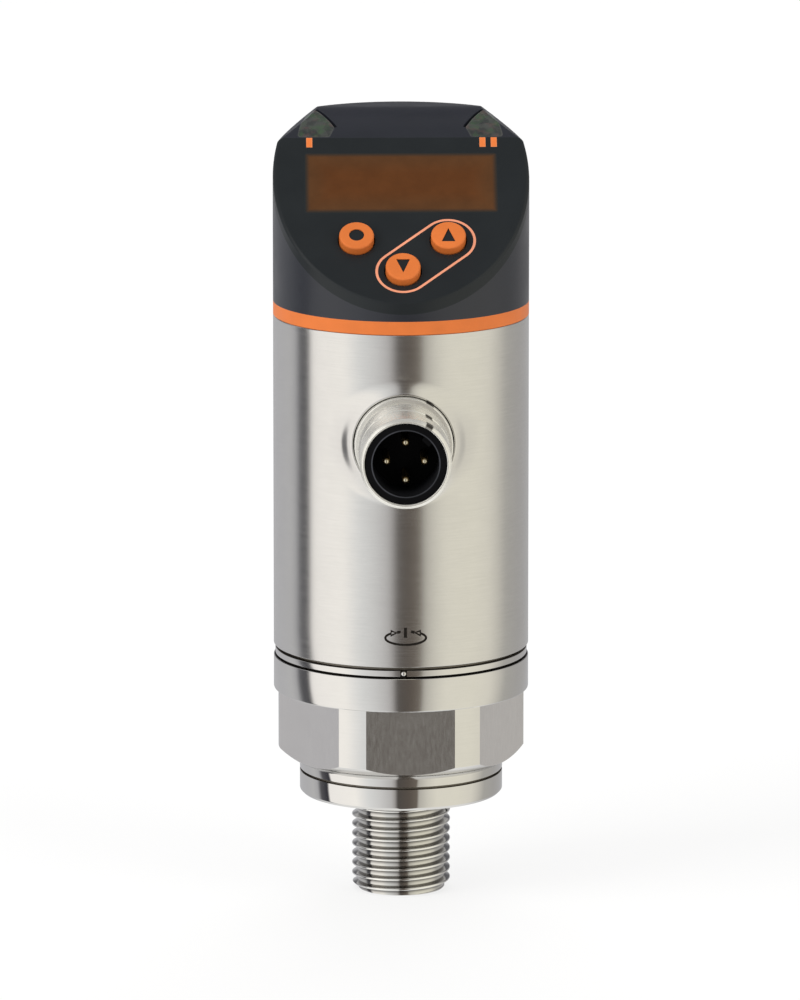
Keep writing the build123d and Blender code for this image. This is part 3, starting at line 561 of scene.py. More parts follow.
def lens_finish():
    """Smoky light guide: grey with faint green and pink clouds, and a frosted skin."""
    material, tree, shader = new_finish("lens_plastic")
    skin = effect(tree, "skin", Pebble_Scale=3600.0, Cloud_Scale=700.0)
    edges = effect(tree, "edges", Width=0.0003, Amount=0.7)
    point = object_point(tree)
    other = stretched(tree, point, (1.0, 1.3, 1.7))
    green = span(tree, noise(tree, point, 520.0, 3.0, 0.6), 0.46, 0.64, 0.0, 0.7)
    pink = span(tree, noise(tree, other, 610.0, 3.0, 0.6), 0.5, 0.68, 0.0, 0.5)
    body = blend_colours(tree, by_cloud(tree, skin), (0.026, 0.029, 0.029), (0.058, 0.063, 0.058))
    body = blend_colours(tree, green, body, (0.042, 0.080, 0.040))
    body = blend_colours(tree, pink, body, (0.095, 0.058, 0.056))
    dress(
        # Lighter edges: partly wear, partly a painted highlight
        tree, shader, blend_colours(tree, edges.outputs["Mask"], body, (0.12, 0.12, 0.115)),
        by_cloud(tree, skin, 0.22, 0.32), bump(tree, skin.outputs["Height"], 0.06, SKIN_RELIEF),
        Specular_IOR_Level=0.4,
    )
    return material


def over_plug(tree):
    """X, the reach along the plug's axis and the height over it."""
    x, y, z = object_axes(tree)
    return x, maths(tree, "MULTIPLY", y, -1.0), maths(tree, "SUBTRACT", z, PLUG_Z * MM)


def contact_finish():
    """Gold-plated pins: a painted highlight at the tip's middle, and painted shade down the side, where
    the socket shades them.
    """
    material, tree, shader = new_finish("gold_contacts")
    grain = effect(tree, "grain", Stretch=(9000.0, 300.0, 9000.0), Depth=0.5)
    x, _, up = over_plug(tree)
    x, up = maths(tree, "ABSOLUTE", x), maths(tree, "ABSOLUTE", up)
    off = maths(tree, "SUBTRACT", maths(tree, "MAXIMUM", x, up), PIN_CIRCLE)
    side = span(tree, length(tree, off, maths(tree, "MINIMUM", x, up)), *PIN_PAINTED_HIGHLIGHT)
    # Painted highlight at the tip's middle, painted shade down the side
    painted_tip_light = blend_colours(tree, side, (1.0, 0.93, 0.72), (0.22, 0.15, 0.06))
    lines = span(tree, grain.outputs["Line"], 0.3, 0.7, 0.9, 1.0)
    roughness = span(tree, side, 0.0, 1.0, 0.16, 0.42)
    dress(tree, shader, shaded(tree, painted_tip_light, lines), roughness, Metallic=1.0)
    return material


def thread_finish():
    """Cut steel thread: lighter on the crests and darker in the roots as painted highlight and shade,
    with a painted shadow in the root under each crest.
    """
    material, tree, shader = new_finish("thread_steel")
    line = effect(tree, "grain", Stretch=(500.0, 500.0, 14000.0), Depth=0.6).outputs["Line"]
    x, y, z = object_axes(tree)
    crest = span(tree, length(tree, x, y), *THREAD_REACH)
    from_end = maths(tree, "SUBTRACT", z, PIPE_END * MM)
    lap = maths(tree, "MULTIPLY", from_end, 1 / (PIPE_PITCH * MM))
    turn = maths(tree, "MULTIPLY", maths(tree, "ARCTAN2", y, x), 1 / (2 * math.pi))
    share = maths(tree, "FRACT", maths(tree, "SUBTRACT", lap, turn))
    fall = span(tree, share, 0.86, 0.93, 1.0, 0.0)
    # Painted shadow in the root just under each crest, following the helix
    shadow_under_crest = maths(tree, "MULTIPLY", span(tree, share, 0.40, 0.72), fall)
    root = blend_colours(tree, shadow_under_crest, (0.68, 0.67, 0.64), (0.24, 0.232, 0.22))
    # Crests lighter than roots: painted highlight and shade
    steel = blend_colours(tree, crest, root, (0.90, 0.89, 0.86))
    dress(
        tree, shader, shaded(tree, steel, span(tree, line, 0.25, 0.75, 0.90, 1.0)),
        span(tree, crest, 0.0, 1.0, 0.13, 0.09), bump(tree, line, 0.06, 0.00001), Metallic=1.0,
    )
    return material


def plug_finish():
    """Satin plug body, with painted shade for three short notches in a row at its upper right."""
    stretch = (250.0, 7000.0, 250.0)
    material = steel_finish(
        "plug_steel", (0.90, 0.885, 0.825), 0.27, 0.0, stretch, 0.4, 0.04, metallic=0.72)
    tree = material.node_tree
    base = tree.nodes["Principled BSDF"].inputs["Base Color"]
    x, reach, up = over_plug(tree)
    turn = within(tree, maths(tree, "ARCTAN2", up, x), *PLUG_NOTCH_SHADE_TURNS, PLUG_NOTCH_SHADE_TURN_SOFT)
    # Painted shade for three short notches in the thread, at the upper right
    notch_shade = 0.0
    for ends in PLUG_NOTCH_SHADES:
        notch_shade = maths(tree, "ADD", notch_shade, within(tree, reach, *ends, PLUG_NOTCH_SHADE_SOFT))
    notch_shade = maths(tree, "MULTIPLY", notch_shade, turn, clamp=True)
    feed(tree, base, blend_colours(tree, notch_shade, base.links[0].from_socket, (0.05, 0.045, 0.04)))
    return material


def insert_finish():
    """Black contact carrier: nearly matt, with a lighter ring round the socket that is partly rubbed
    and partly a painted highlight.
    """
    material, tree, shader = new_finish("insert_plastic")
    skin = effect(tree, "skin", Pebble_Scale=5200.0)
    x, _, up = over_plug(tree)
    rim = within(tree, length(tree, x, up), *SOCKET_RIM, SOCKET_RIM_SOFT)
    # Lighter ring at the socket's rim: partly rubbed, partly a painted highlight
    rim_wear_and_highlight = maths(tree, "MULTIPLY", rim, by_cloud(tree, skin, 0.55, 1.0, 0.15))
    cloud = by_cloud(tree, skin)
    body = blend_colours(tree, cloud, (0.0022, 0.0022, 0.0028), (0.0034, 0.0034, 0.0042))
    dress(
        tree, shader, blend_colours(tree, rim_wear_and_highlight, body, (0.052, 0.054, 0.062)),
        by_cloud(tree, skin, 0.5, 0.6), bump(tree, skin.outputs["Height"], 0.05, SKIN_RELIEF),
        Specular_IOR_Level=0.08,
    )
    return material


# Stretch of the grain that turning and milling leave
TURNED = (250.0, 250.0, 7000.0)
MILLED = (2600.0, 2600.0, 700.0)

# Steels: colour, roughness, anisotropy, and the grain's stretch, depth and bump
STEELS = {
    "turned_steel": ((0.74, 0.73, 0.71), 0.13, 0.3, TURNED, 0.5, 0.05),
    "polished_flange": ((0.745, 0.735, 0.715), 0.045, 0.0, TURNED, 0.25, 0.015),
    "milled_flats": ((0.91, 0.885, 0.86), 0.17, 0.0, MILLED, 0.9, 0.06),
    # Front and back flats: the same milled steel, tinted blue as a painted reflection
    "front_flats_painted_reflection": ((0.87, 0.90, 0.92), 0.21, 0.0, MILLED, 0.9, 0.06),
    "brushed_sleeve": ((0.72, 0.71, 0.69), 0.17, 0.5, TURNED, 0.8, 0.10),
    "spring_steel": ((0.60, 0.60, 0.60), 0.25, 0.0, TURNED, 0.5, 0.05),
    # Painted shade in gaps, grooves and joints: a near-black one, and a lighter one for the upper
    # joint, the flange's line groove and the sleeve's lower edge
    "painted_shade_gap": ((0.07, 0.062, 0.055), 0.45, 0.0, TURNED, 0.5, 0.05),
    "painted_half_shade_gap": ((0.24, 0.22, 0.19), 0.45, 0.0, TURNED, 0.5, 0.05),
}

# Plastics and other non-metals: colour, roughness and the skin's bump, and then, where it isn't the
# usual one, the specular level, the lift of the edges' wear and painted highlight, and their colour
PLASTICS = {
    "orange_plastic": ((0.70, 0.178, 0.037), 0.42, 0.10, 0.35, 1.15),
    "outline_ink": ((0.86, 0.34, 0.20), 0.5, 0.05, 0.3, 1.1),
    "mark_inlay": ((0.80, 0.20, 0.045), 0.42, 0.10, 0.35, 1.0, (0.86, 0.42, 0.22)),
    "head_plastic": ((0.017, 0.019, 0.026), 0.34, 0.12, 0.62, 1.25),
    "cover_plastic": ((0.014, 0.017, 0.019), 0.34, 0.04, 0.35, 1.1),
    "led_resin": ((0.80, 0.80, 0.74), 0.15, 0.02),
    "laser_mark": ((0.010, 0.008, 0.006), 0.6, 0.05, 0.2),
    "elastomer": ((0.015, 0.015, 0.015), 0.62, 0.20, 0.4),
    "cell_ceramic": ((0.86, 0.85, 0.81), 0.45, 0.05),
    "circuit_board": ((0.015, 0.13, 0.06), 0.3, 0.10),
    "module_plastic": ((0.02, 0.02, 0.02), 0.5, 0.15),
    "socket_plastic": ((0.72, 0.68, 0.58), 0.45, 0.10),
    "carrier_plastic": ((0.05, 0.05, 0.055), 0.5, 0.15),
    "ribbon_film": ((0.42, 0.19, 0.04), 0.3, 0.05),
    "lead_sheath": ((0.52, 0.52, 0.51), 0.5, 0.10),
}


def make_finishes():
    """All finishes: the record's material slots, and the ones for parts of a piece."""
    steels = {name: steel_finish(name, *values) for name, values in STEELS.items()}
    plastics = {name: plastic_finish(name, *values) for name, values in PLASTICS.items()}
    return steels | plastics | {
        "plug_steel": plug_finish(),
        "thread_steel": thread_finish(),
        "gold_contacts": contact_finish(),
        "tinted_window": window_finish(),
        "lens_plastic": lens_finish(),
        "insert_plastic": insert_finish(),
    }


def dress_cad_nodes(finishes):
    """Gives every node of the source the finish of its slot, and the marks their own."""
    slots = {row["node"]: row["material_slot"] for row in frame["record"]["subparts"]}
    for name, node in NODES.items():
        node.data.materials.clear()
        finish = "mark_inlay" if name == "switch_marks" else slots[name]
        node.data.materials.append(finishes[finish])


# Mesh making


CORNER_DIGITS = 5


class Skin:
    """Mesh under construction, in millimetres; points that coincide are the same corner."""

    def __init__(self):
        self.points = []
        self.places = {}
        self.faces = []

    def corner(self, point):
        key = tuple(round(part, CORNER_DIGITS) for part in point)
        if key not in self.places:
            self.places[key] = len(self.points)
            self.points.append(tuple(part * MM for part in point))
        return self.places[key]

    def face(self, corners):
        kept = [c for i, c in enumerate(corners) if c != corners[i - 1]]
        if len(set(kept)) > 2 and len(set(kept)) == len(kept):
            self.faces.append(kept)

    def grid(self, columns, closed_round=True, closed_along=False):
        """Quads between neighbouring columns of corners, all of one length."""
        last = len(columns) if closed_round else len(columns) - 1
        for i in range(last):
            here, there = columns[i], columns[(i + 1) % len(columns)]
            along = len(here) if closed_along else len(here) - 1
            for k in range(along):
                n = (k + 1) % len(here)
                self.face([here[k], there[k], there[n], here[n]])

    def finish(self, name, body, slot, replaced=(), sharp=30.0, look=None, parts=(), part_of=None):
        """Object with outward faces and crisp edges, riding on its body.

        look is its finish where that isn't the slot's own. parts are further finishes, and part_of
        says which of them a face has, from its middle, or None.
        """
        mesh = bpy.data.meshes.new(name)
        mesh.from_pydata(self.points, [], self.faces)
        shell = bmesh.new()
        shell.from_mesh(mesh)
        bmesh.ops.recalc_face_normals(shell, faces=shell.faces)
        shell.to_mesh(mesh)
        shell.free()
        mesh.shade_smooth()
        mesh.set_sharp_from_angle(angle=math.radians(sharp))
        mesh.materials.append(finishes[look or slot])
        for part in parts:
            mesh.materials.append(finishes[part])
        for polygon in mesh.polygons if parts else ():
            part = part_of(polygon.center / MM)
            polygon.material_index = parts.index(part) + 1 if part else 0
        piece = bpy.data.objects.new(name, mesh)
        bpy.context.scene.collection.objects.link(piece)
        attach(piece, body)
        if replaced:
            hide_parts(*replaced)
        return piece


def eased(points, closed=True, steps=4):
    """Profile with rounded corners, from (radius, height, rounding) points."""
    out = []
    for i, (x, y, rounding) in enumerate(points):
        if not rounding or (not closed and i in (0, len(points) - 1)):
            out.append((x, y))
            continue
        here = Vector((x, y))
        back = (Vector(points[i - 1][:2]) - here).normalized()
        ahead = (Vector(points[(i + 1) % len(points)][:2]) - here).normalized()
        half = back.angle(ahead) / 2
        centre = here + (back + ahead).normalized() * rounding / math.sin(half)
        start = (here + back * rounding / math.tan(half) - centre).normalized()
        end = (here + ahead * rounding / math.tan(half) - centre).normalized()
        for k in range(steps + 1):
            out.append(tuple(centre + start.slerp(end, k / steps) * rounding))
    return out


def between(value, ends):
    """True where a value lies between two ends."""
    return ends[0] < value < ends[1]


def even_turns(count):
    """Directions of evenly spaced columns."""
    return [2 * math.pi * i / count for i in range(count)]


# Process connection: hexagon, flange, pipe thread and neck

HEX_TURN = 3.55
HEX_TURNED = 16.4
FRONT_FLAT_REACH = 15.3
SIDE_FLAT_REACH = 14.85
HEX_BOTTOM = 4.3
HEX_FOOT_RADIUS = 13.6
HEX_FOOT_HEIGHT = 1.87
HEX_FOOT_BULGE = 0.6
HEX_TOP = 14.15
PIPE_RADIUS = 6.5785
PIPE_DEPTH = 0.856
PIPE_CREST_ROUND = 0.16
PIPE_ROOT_ROUND = 0.12
PIPE_FLANK = math.radians(15)
PIPE_CHAMFER = 0.9
PIPE_LAPS = 11
PIPE_RUNOUT = -1.3
RELIEF_RADIUS = 5.7
RELIEF_START = -0.87
CONNECTION_COLUMNS = 228
CORNER_CLEAR = math.radians(0.6)


def pipe_thread_depth(share):
    """Depth below the crest, a share of one pitch from it: a rounded ridge, then a broad flat root."""
    run = min(share, 1 - share) * PIPE_PITCH
    crest_run = PIPE_CREST_ROUND * math.cos(PIPE_FLANK)
    crest_drop = PIPE_CREST_ROUND * (1 - math.sin(PIPE_FLANK))
    root_drop = PIPE_ROOT_ROUND * (1 - math.sin(PIPE_FLANK))
    flank_end = crest_run + (PIPE_DEPTH - crest_drop - root_drop) * math.tan(PIPE_FLANK)
    if run < crest_run:
        return PIPE_CREST_ROUND - math.sqrt(PIPE_CREST_ROUND**2 - run**2)
    if run < flank_end:
        return crest_drop + (run - crest_run) / math.tan(PIPE_FLANK)
    left = flank_end + PIPE_ROOT_ROUND * math.cos(PIPE_FLANK) - run
    if left > 0:
        return PIPE_DEPTH - PIPE_ROOT_ROUND + math.sqrt(PIPE_ROOT_ROUND**2 - left**2)
    return PIPE_DEPTH


def pipe_thread_rows():
    """Shares of one pitch at which the thread has a row, close together round crest and root."""
    runs = [0.0, 0.042, 0.082, 0.114, 0.139, 0.1545, 0.328, 0.342, 0.361, 0.386, 0.415, 0.444]
    half = [run / PIPE_PITCH for run in runs]
    return half + [1 - share for share in [0.5] + half[:0:-1]]


def pipe_thread_column(turn, rows):
    """(radius, height) points of the helical thread in one direction, from its end up to the relief."""
    points = []
    for lap in range(PIPE_LAPS):
        for share in rows:
            z = PIPE_END + PIPE_PITCH * (lap + share + turn / (2 * math.pi) - 1)
            z = min(max(z, PIPE_END), RELIEF_START)
            phase = ((z - PIPE_END) / PIPE_PITCH - turn / (2 * math.pi)) % 1.0
            radius = PIPE_RADIUS - pipe_thread_depth(phase)
            radius = min(radius, PIPE_RADIUS - PIPE_CHAMFER + z - PIPE_END)
            fall = (PIPE_RADIUS - RELIEF_RADIUS) / (RELIEF_START - PIPE_RUNOUT)
            points.append((min(radius, PIPE_RADIUS - (z - PIPE_RUNOUT) * fall), z))
    return points


def hexagon_reach(turn):
    """Radius of the hexagon's wall in one direction."""
    reach = HEX_TURNED
    for k in range(6):
        normal = math.radians(-90 + HEX_TURN + 60 * k)
        across = FRONT_FLAT_REACH if k % 3 == 0 else SIDE_FLAT_REACH
        facing = math.cos(turn - normal)
        if facing > 0.5:
            reach = min(reach, across / facing)
    return reach


def connection_turns():
    """Directions of the columns, with one exactly at each end of each flat."""
    corners = []
    for k in range(6):
        across = FRONT_FLAT_REACH if k % 3 == 0 else SIDE_FLAT_REACH
        half = math.acos(across / HEX_TURNED)
        normal = math.radians(-90 + HEX_TURN + 60 * k)
        corners += [(normal + side * half) % (2 * math.pi) for side in (-1, 1)]
    even = even_turns(CONNECTION_COLUMNS)
    clear = [t for t in even if min(abs(t - c) for c in corners) > CORNER_CLEAR]
    return sorted(clear + corners)


# Profiles of (radius, height, rounding) points
FLANGE_PROFILE = [
    # Seal groove in the underside
    (5.7, -0.3, 0), (5.7, 0.0, 0.2), (7.25, 0.0, 0.08), (7.25, 1.1, 0), (9.35, 1.1, 0),
    # Rim, with a line groove round it
    (9.35, 0.0, 0.08), (13.2, 0.0, 0.1), (13.55, 0.35, 0.25), (13.55, 2.9, 0.04), (13.1, 2.93, 0),
    (13.1, 3.2, 0), (13.55, 3.24, 0.06), (13.55, HEX_BOTTOM, 0), (HEX_FOOT_RADIUS, HEX_BOTTOM, 0),
]
COLLAR_PROFILE = [
    # Collar over the hexagon
    (15.5, HEX_TOP, 0), (17.0, HEX_TOP, 0.28), (17.0, 18.70, 0.1), (16.45, 18.72, 0),
    (16.35, 18.85, 0), (13.25, 18.85, 0.1),
    # Neck, with two grooves
    (13.25, 21.05, 0.05), (12.05, 21.05, 0), (12.05, 22.65, 0), (13.25, 22.65, 0.05),
    (13.25, 24.15, 0), (12.4, 24.15, 0), (12.4, 25.2, 0), (13.25, 25.2, 0), (13.25, 25.85, 0.2),
    # Inside: the cell's chamber, and the bore down to the thread's end
    (10.0, 25.85, 0.1), (10.0, 11.4, 0), (9.1, 11.4, 0), (9.1, 3.6, 0), (7.9, 3.6, 0),
    (7.9, 2.3, 0), (5.9, 2.3, 0), (5.9, 3.6, 0), (3.0, 3.6, 0.1), (3.0, -12.8, 0),
    (3.6, PIPE_END, 0.1), (5.0, PIPE_END, 0),
]
WALL_HEIGHTS = (7.0, 8.5, 10.5, 12.5, HEX_TOP - 0.06)
FOOT_ROWS = 7

# Where its further finishes begin and end, in height and in radius
THREAD_TOP = -0.6
LINE_GROOVE_Z = (2.91, 3.23)
LINE_GROOVE_RADII = (13.0, 13.5)
COLLAR_STEP_Z = (18.705, 19.0)
COLLAR_STEP_RADIUS = 13.4
FRONT_FLAT_SHARE = 0.87


def make_process_connection():
    """Steel body with its hexagon's flats, eased edges, seal and line grooves, and cut thread."""
    rows = pipe_thread_rows()
    flange = eased(FLANGE_PROFILE, closed=False, steps=3)
    collar = eased(COLLAR_PROFILE, closed=False, steps=3)
    skin = Skin()
    lanes = []
    for turn in connection_turns():
        wall = hexagon_reach(turn)
        foot = []
        for k in range(1, FOOT_ROWS + 1):
            radius = HEX_FOOT_RADIUS + (wall - HEX_FOOT_RADIUS) * k / FOOT_ROWS
            share = (radius - HEX_FOOT_RADIUS) / (HEX_TURNED - HEX_FOOT_RADIUS)
            z = HEX_BOTTOM + HEX_FOOT_HEIGHT * share - HEX_FOOT_BULGE * share * (1 - share)
            foot.append((radius, z))
        side = [(wall, z) for z in WALL_HEIGHTS]
        top = [(wall - 0.06, HEX_TOP)]
        column = flange + foot + side + top + collar[1:]
        x, y = math.cos(turn), math.sin(turn)
        body = [skin.corner((r * x, r * y, z)) for r, z in column]
        thread = [skin.corner((r * x, r * y, z)) for r, z in pipe_thread_column(turn, rows)]
        lanes.append((body[-1], thread, body))
    per_turn = len(rows)
    for i, (end, thread, body) in enumerate(lanes):
        next_end, next_thread, next_body = lanes[(i + 1) % len(lanes)]
        if i == len(lanes) - 1:
            next_thread = next_thread[per_turn:] + [next_thread[-1]] * per_turn
        skin.grid([[end] + thread + body, [next_end] + next_thread + next_body], closed_round=False)

    def region(middle):
        radius = math.hypot(middle.x, middle.y)
        # Painted shade: the step under the collar and the flange's line groove
        if between(middle.z, COLLAR_STEP_Z) and radius > COLLAR_STEP_RADIUS:
            return "painted_shade_gap"
        if middle.z < THREAD_TOP:
            return "thread_steel"
        if between(middle.z, LINE_GROOVE_Z) and between(radius, LINE_GROOVE_RADII):
            return "painted_half_shade_gap"
        if middle.z < HEX_BOTTOM + 0.01:
            return "polished_flange"
        if HEX_BOTTOM + 1 < middle.z < HEX_TOP - 0.05 and 12 < radius < HEX_TURNED - 0.03:
            turn = math.atan2(middle.y, middle.x)
            if not hexagon_reach(turn) - 0.05 < radius < HEX_TURNED - 0.02:
                return None
            # Front and back flats take the blue painted reflection
            along = abs(math.cos(turn - math.radians(-90 + HEX_TURN)))
            return "front_flats_painted_reflection" if along > FRONT_FLAT_SHARE else "milled_flats"
        return None

    parts = [
        "thread_steel", "polished_flange", "milled_flats", "painted_shade_gap", "front_flats_painted_reflection", "painted_half_shade_gap",
    ]
    skin.finish(
        "threaded_connection", "process_connection", "turned_steel", ["process_connection"],
        sharp=20.0, parts=parts, part_of=region,
    )


# Base ring under the sleeve, with its index notch

BASE_RING_RADIUS = 16.8
BASE_RING_COLUMNS = 170
NOTCH_RADIUS = 0.44
INDEX_PIN_RADIUS = 0.38
INDEX_PIN_Z = 19.38
# Shares of the pin's radius, and the reach at each
INDEX_PIN_PROFILE = [
    (0.0, 16.3), (1.0, 16.3), (1.0, 16.6), (0.96, 16.74), (0.83, 16.85), (0.62, 16.92),
    (0.33, 16.965), (0.0, 16.98),
]


def make_base_ring():
    """Bearing ring with rounded rims and painted shade in its recesses, so that its joints read as
    lines, and a notch in front.
    """
    def profile(rim):
        return eased([
            (13.3, 18.95, 0.1), (16.3, 18.95, 0), (rim, 18.97, 0.07), (rim, 19.80, 0.12),
            (16.1, 19.84, 0), (16.05, 20.15, 0), (16.05, 24.15, 0.1), (13.3, 24.15, 0.1),
        ], steps=4)
    skin = Skin()
    front = math.radians(-90)
    half = NOTCH_RADIUS / BASE_RING_RADIUS
    turns = [front + half * math.sin(math.pi * k / 16) for k in range(-8, 9)]
    start, stop = front + half, front - half + 2 * math.pi
    count = BASE_RING_COLUMNS
    turns += [start + (stop - start) * k / count for k in range(1, count)]
    columns = []
    for turn in turns:
        away = (turn - front) * BASE_RING_RADIUS
        cut = math.sqrt(max(NOTCH_RADIUS**2 - away**2, 0.0)) if abs(away) <= NOTCH_RADIUS else 0.0
        x, y = math.cos(turn), math.sin(turn)
        columns.append([skin.corner((r * x, r * y, z)) for r, z in profile(BASE_RING_RADIUS - cut)])
    skin.grid(columns, closed_along=True)

    def hidden(middle):
        # Painted shade on the recessed faces of the joints and the notch
        if math.hypot(middle.x, middle.y) > BASE_RING_RADIUS - 0.04 or middle.z > 20.2:
            return None
        return "painted_half_shade_gap" if middle.z > 19.79 else "painted_shade_gap"

    skin.finish("notched_base_ring", "housing", "turned_steel", ["base_ring"], sharp=28.0,
                parts=["painted_shade_gap", "painted_half_shade_gap"], part_of=hidden)


def make_index_pin():
    """Small domed pin in the base ring's notch, which marks the front."""
    skin = Skin()
    columns = []
    for turn in even_turns(28):
        x, z = math.cos(turn), math.sin(turn)
        column = [(share * INDEX_PIN_RADIUS, reach) for share, reach in INDEX_PIN_PROFILE]
        columns.append([skin.corner((r * x, -reach, INDEX_PIN_Z + r * z)) for r, reach in column])
    skin.grid(columns)
    skin.finish("index_pin", "housing", "turned_steel", sharp=40.0, look="polished_flange")


# Sleeve with the drawn collar round the connector

SLEEVE_RADIUS = 17.0
SLEEVE_BORE = 16.2
SLEEVE_BOTTOM = 20.24
SLEEVE_TOP = 64.9
LIP_REACH = 17.8
LIP_BORE = 6.59
LIP_SADDLE = 1.1
LIP_ROLL = 6.98
LIP_ROLL_DROP = 0.1
LIP_EDGE = 6.76
FLARE_END = 8.6
FLARE_SIDE_MORE = 1.6
FLARE_SLOPE_TOP = 0.55
FLARE_SLOPE_SIDE = 0.95
FLARE_STEP = 0.15
FLARE_STEP_AT = 7.8
FLARE_STEP_WIDTH = 1.0
FLARE_ROWS = 24
ROLL_ROWS = 5
# Radius and drop below the lip of the rows that round its inner edge
LIP_INNER_EDGE = [(6.70, 0.01), (6.65, 0.04), (6.61, 0.10), (LIP_BORE, 0.22)]
# Square patch round the connector, and the rows and columns outside it
PATCH_HALF = 11.0
PATCH_CELLS = 26
SLEEVE_LOW_ROWS = [24.0, 29.0, 34.5]
SLEEVE_HIGH_ROWS = [62.6, 64.0]
SLEEVE_REAR_COLUMNS = 96


def lip_reach(side):
    """Reach of the lip, which follows the wall a little; side is the direction's X, squared."""
    return LIP_REACH - LIP_SADDLE * side


def flare_end(side):
    """Distance from the plug's axis at which the flare leaves the plain wall."""
    return FLARE_END + FLARE_SIDE_MORE * side


def flare_depth(away, side):
    """Reach of the sleeve's front at a distance from the plug's axis, rising smoothly to the lip."""
    outer = flare_end(side)
    wall = math.sqrt(SLEEVE_RADIUS**2 - outer**2 * side)
    wall_slope = outer * side / wall
    if away < LIP_ROLL:
        share = (LIP_ROLL - away) / (LIP_ROLL - LIP_EDGE)
        return lip_reach(side) - LIP_ROLL_DROP * (1 - share) ** 2
    step = FLARE_STEP * side**6
    passed = min(max(0.5 + (FLARE_STEP_AT - away) / FLARE_STEP_WIDTH, 0.0), 1.0)
    step_rise = step * (3 - 2 * passed) * passed * passed
    top = lip_reach(side) - LIP_ROLL_DROP - step
    lip_slope = FLARE_SLOPE_TOP + (FLARE_SLOPE_SIDE - FLARE_SLOPE_TOP) * side
    length = outer - LIP_ROLL
    t = (outer - away) / length
    rise = (3 - 2 * t) * t * t
    return wall * (1 - rise) + top * rise + step_rise + length * (
        wall_slope * t * (1 - t) ** 2 - lip_slope * t * t * (1 - t))


def square_outline():
    """Points round the square patch about the connector, corner to corner."""
    steps = [-PATCH_HALF + 2 * PATCH_HALF * k / PATCH_CELLS for k in range(PATCH_CELLS)]
    low = [(s, -PATCH_HALF) for s in steps]
    right = [(PATCH_HALF, s) for s in steps]
    high = [(-s, PATCH_HALF) for s in steps]
    left = [(-PATCH_HALF, -s) for s in steps]
    return low + right + high + left


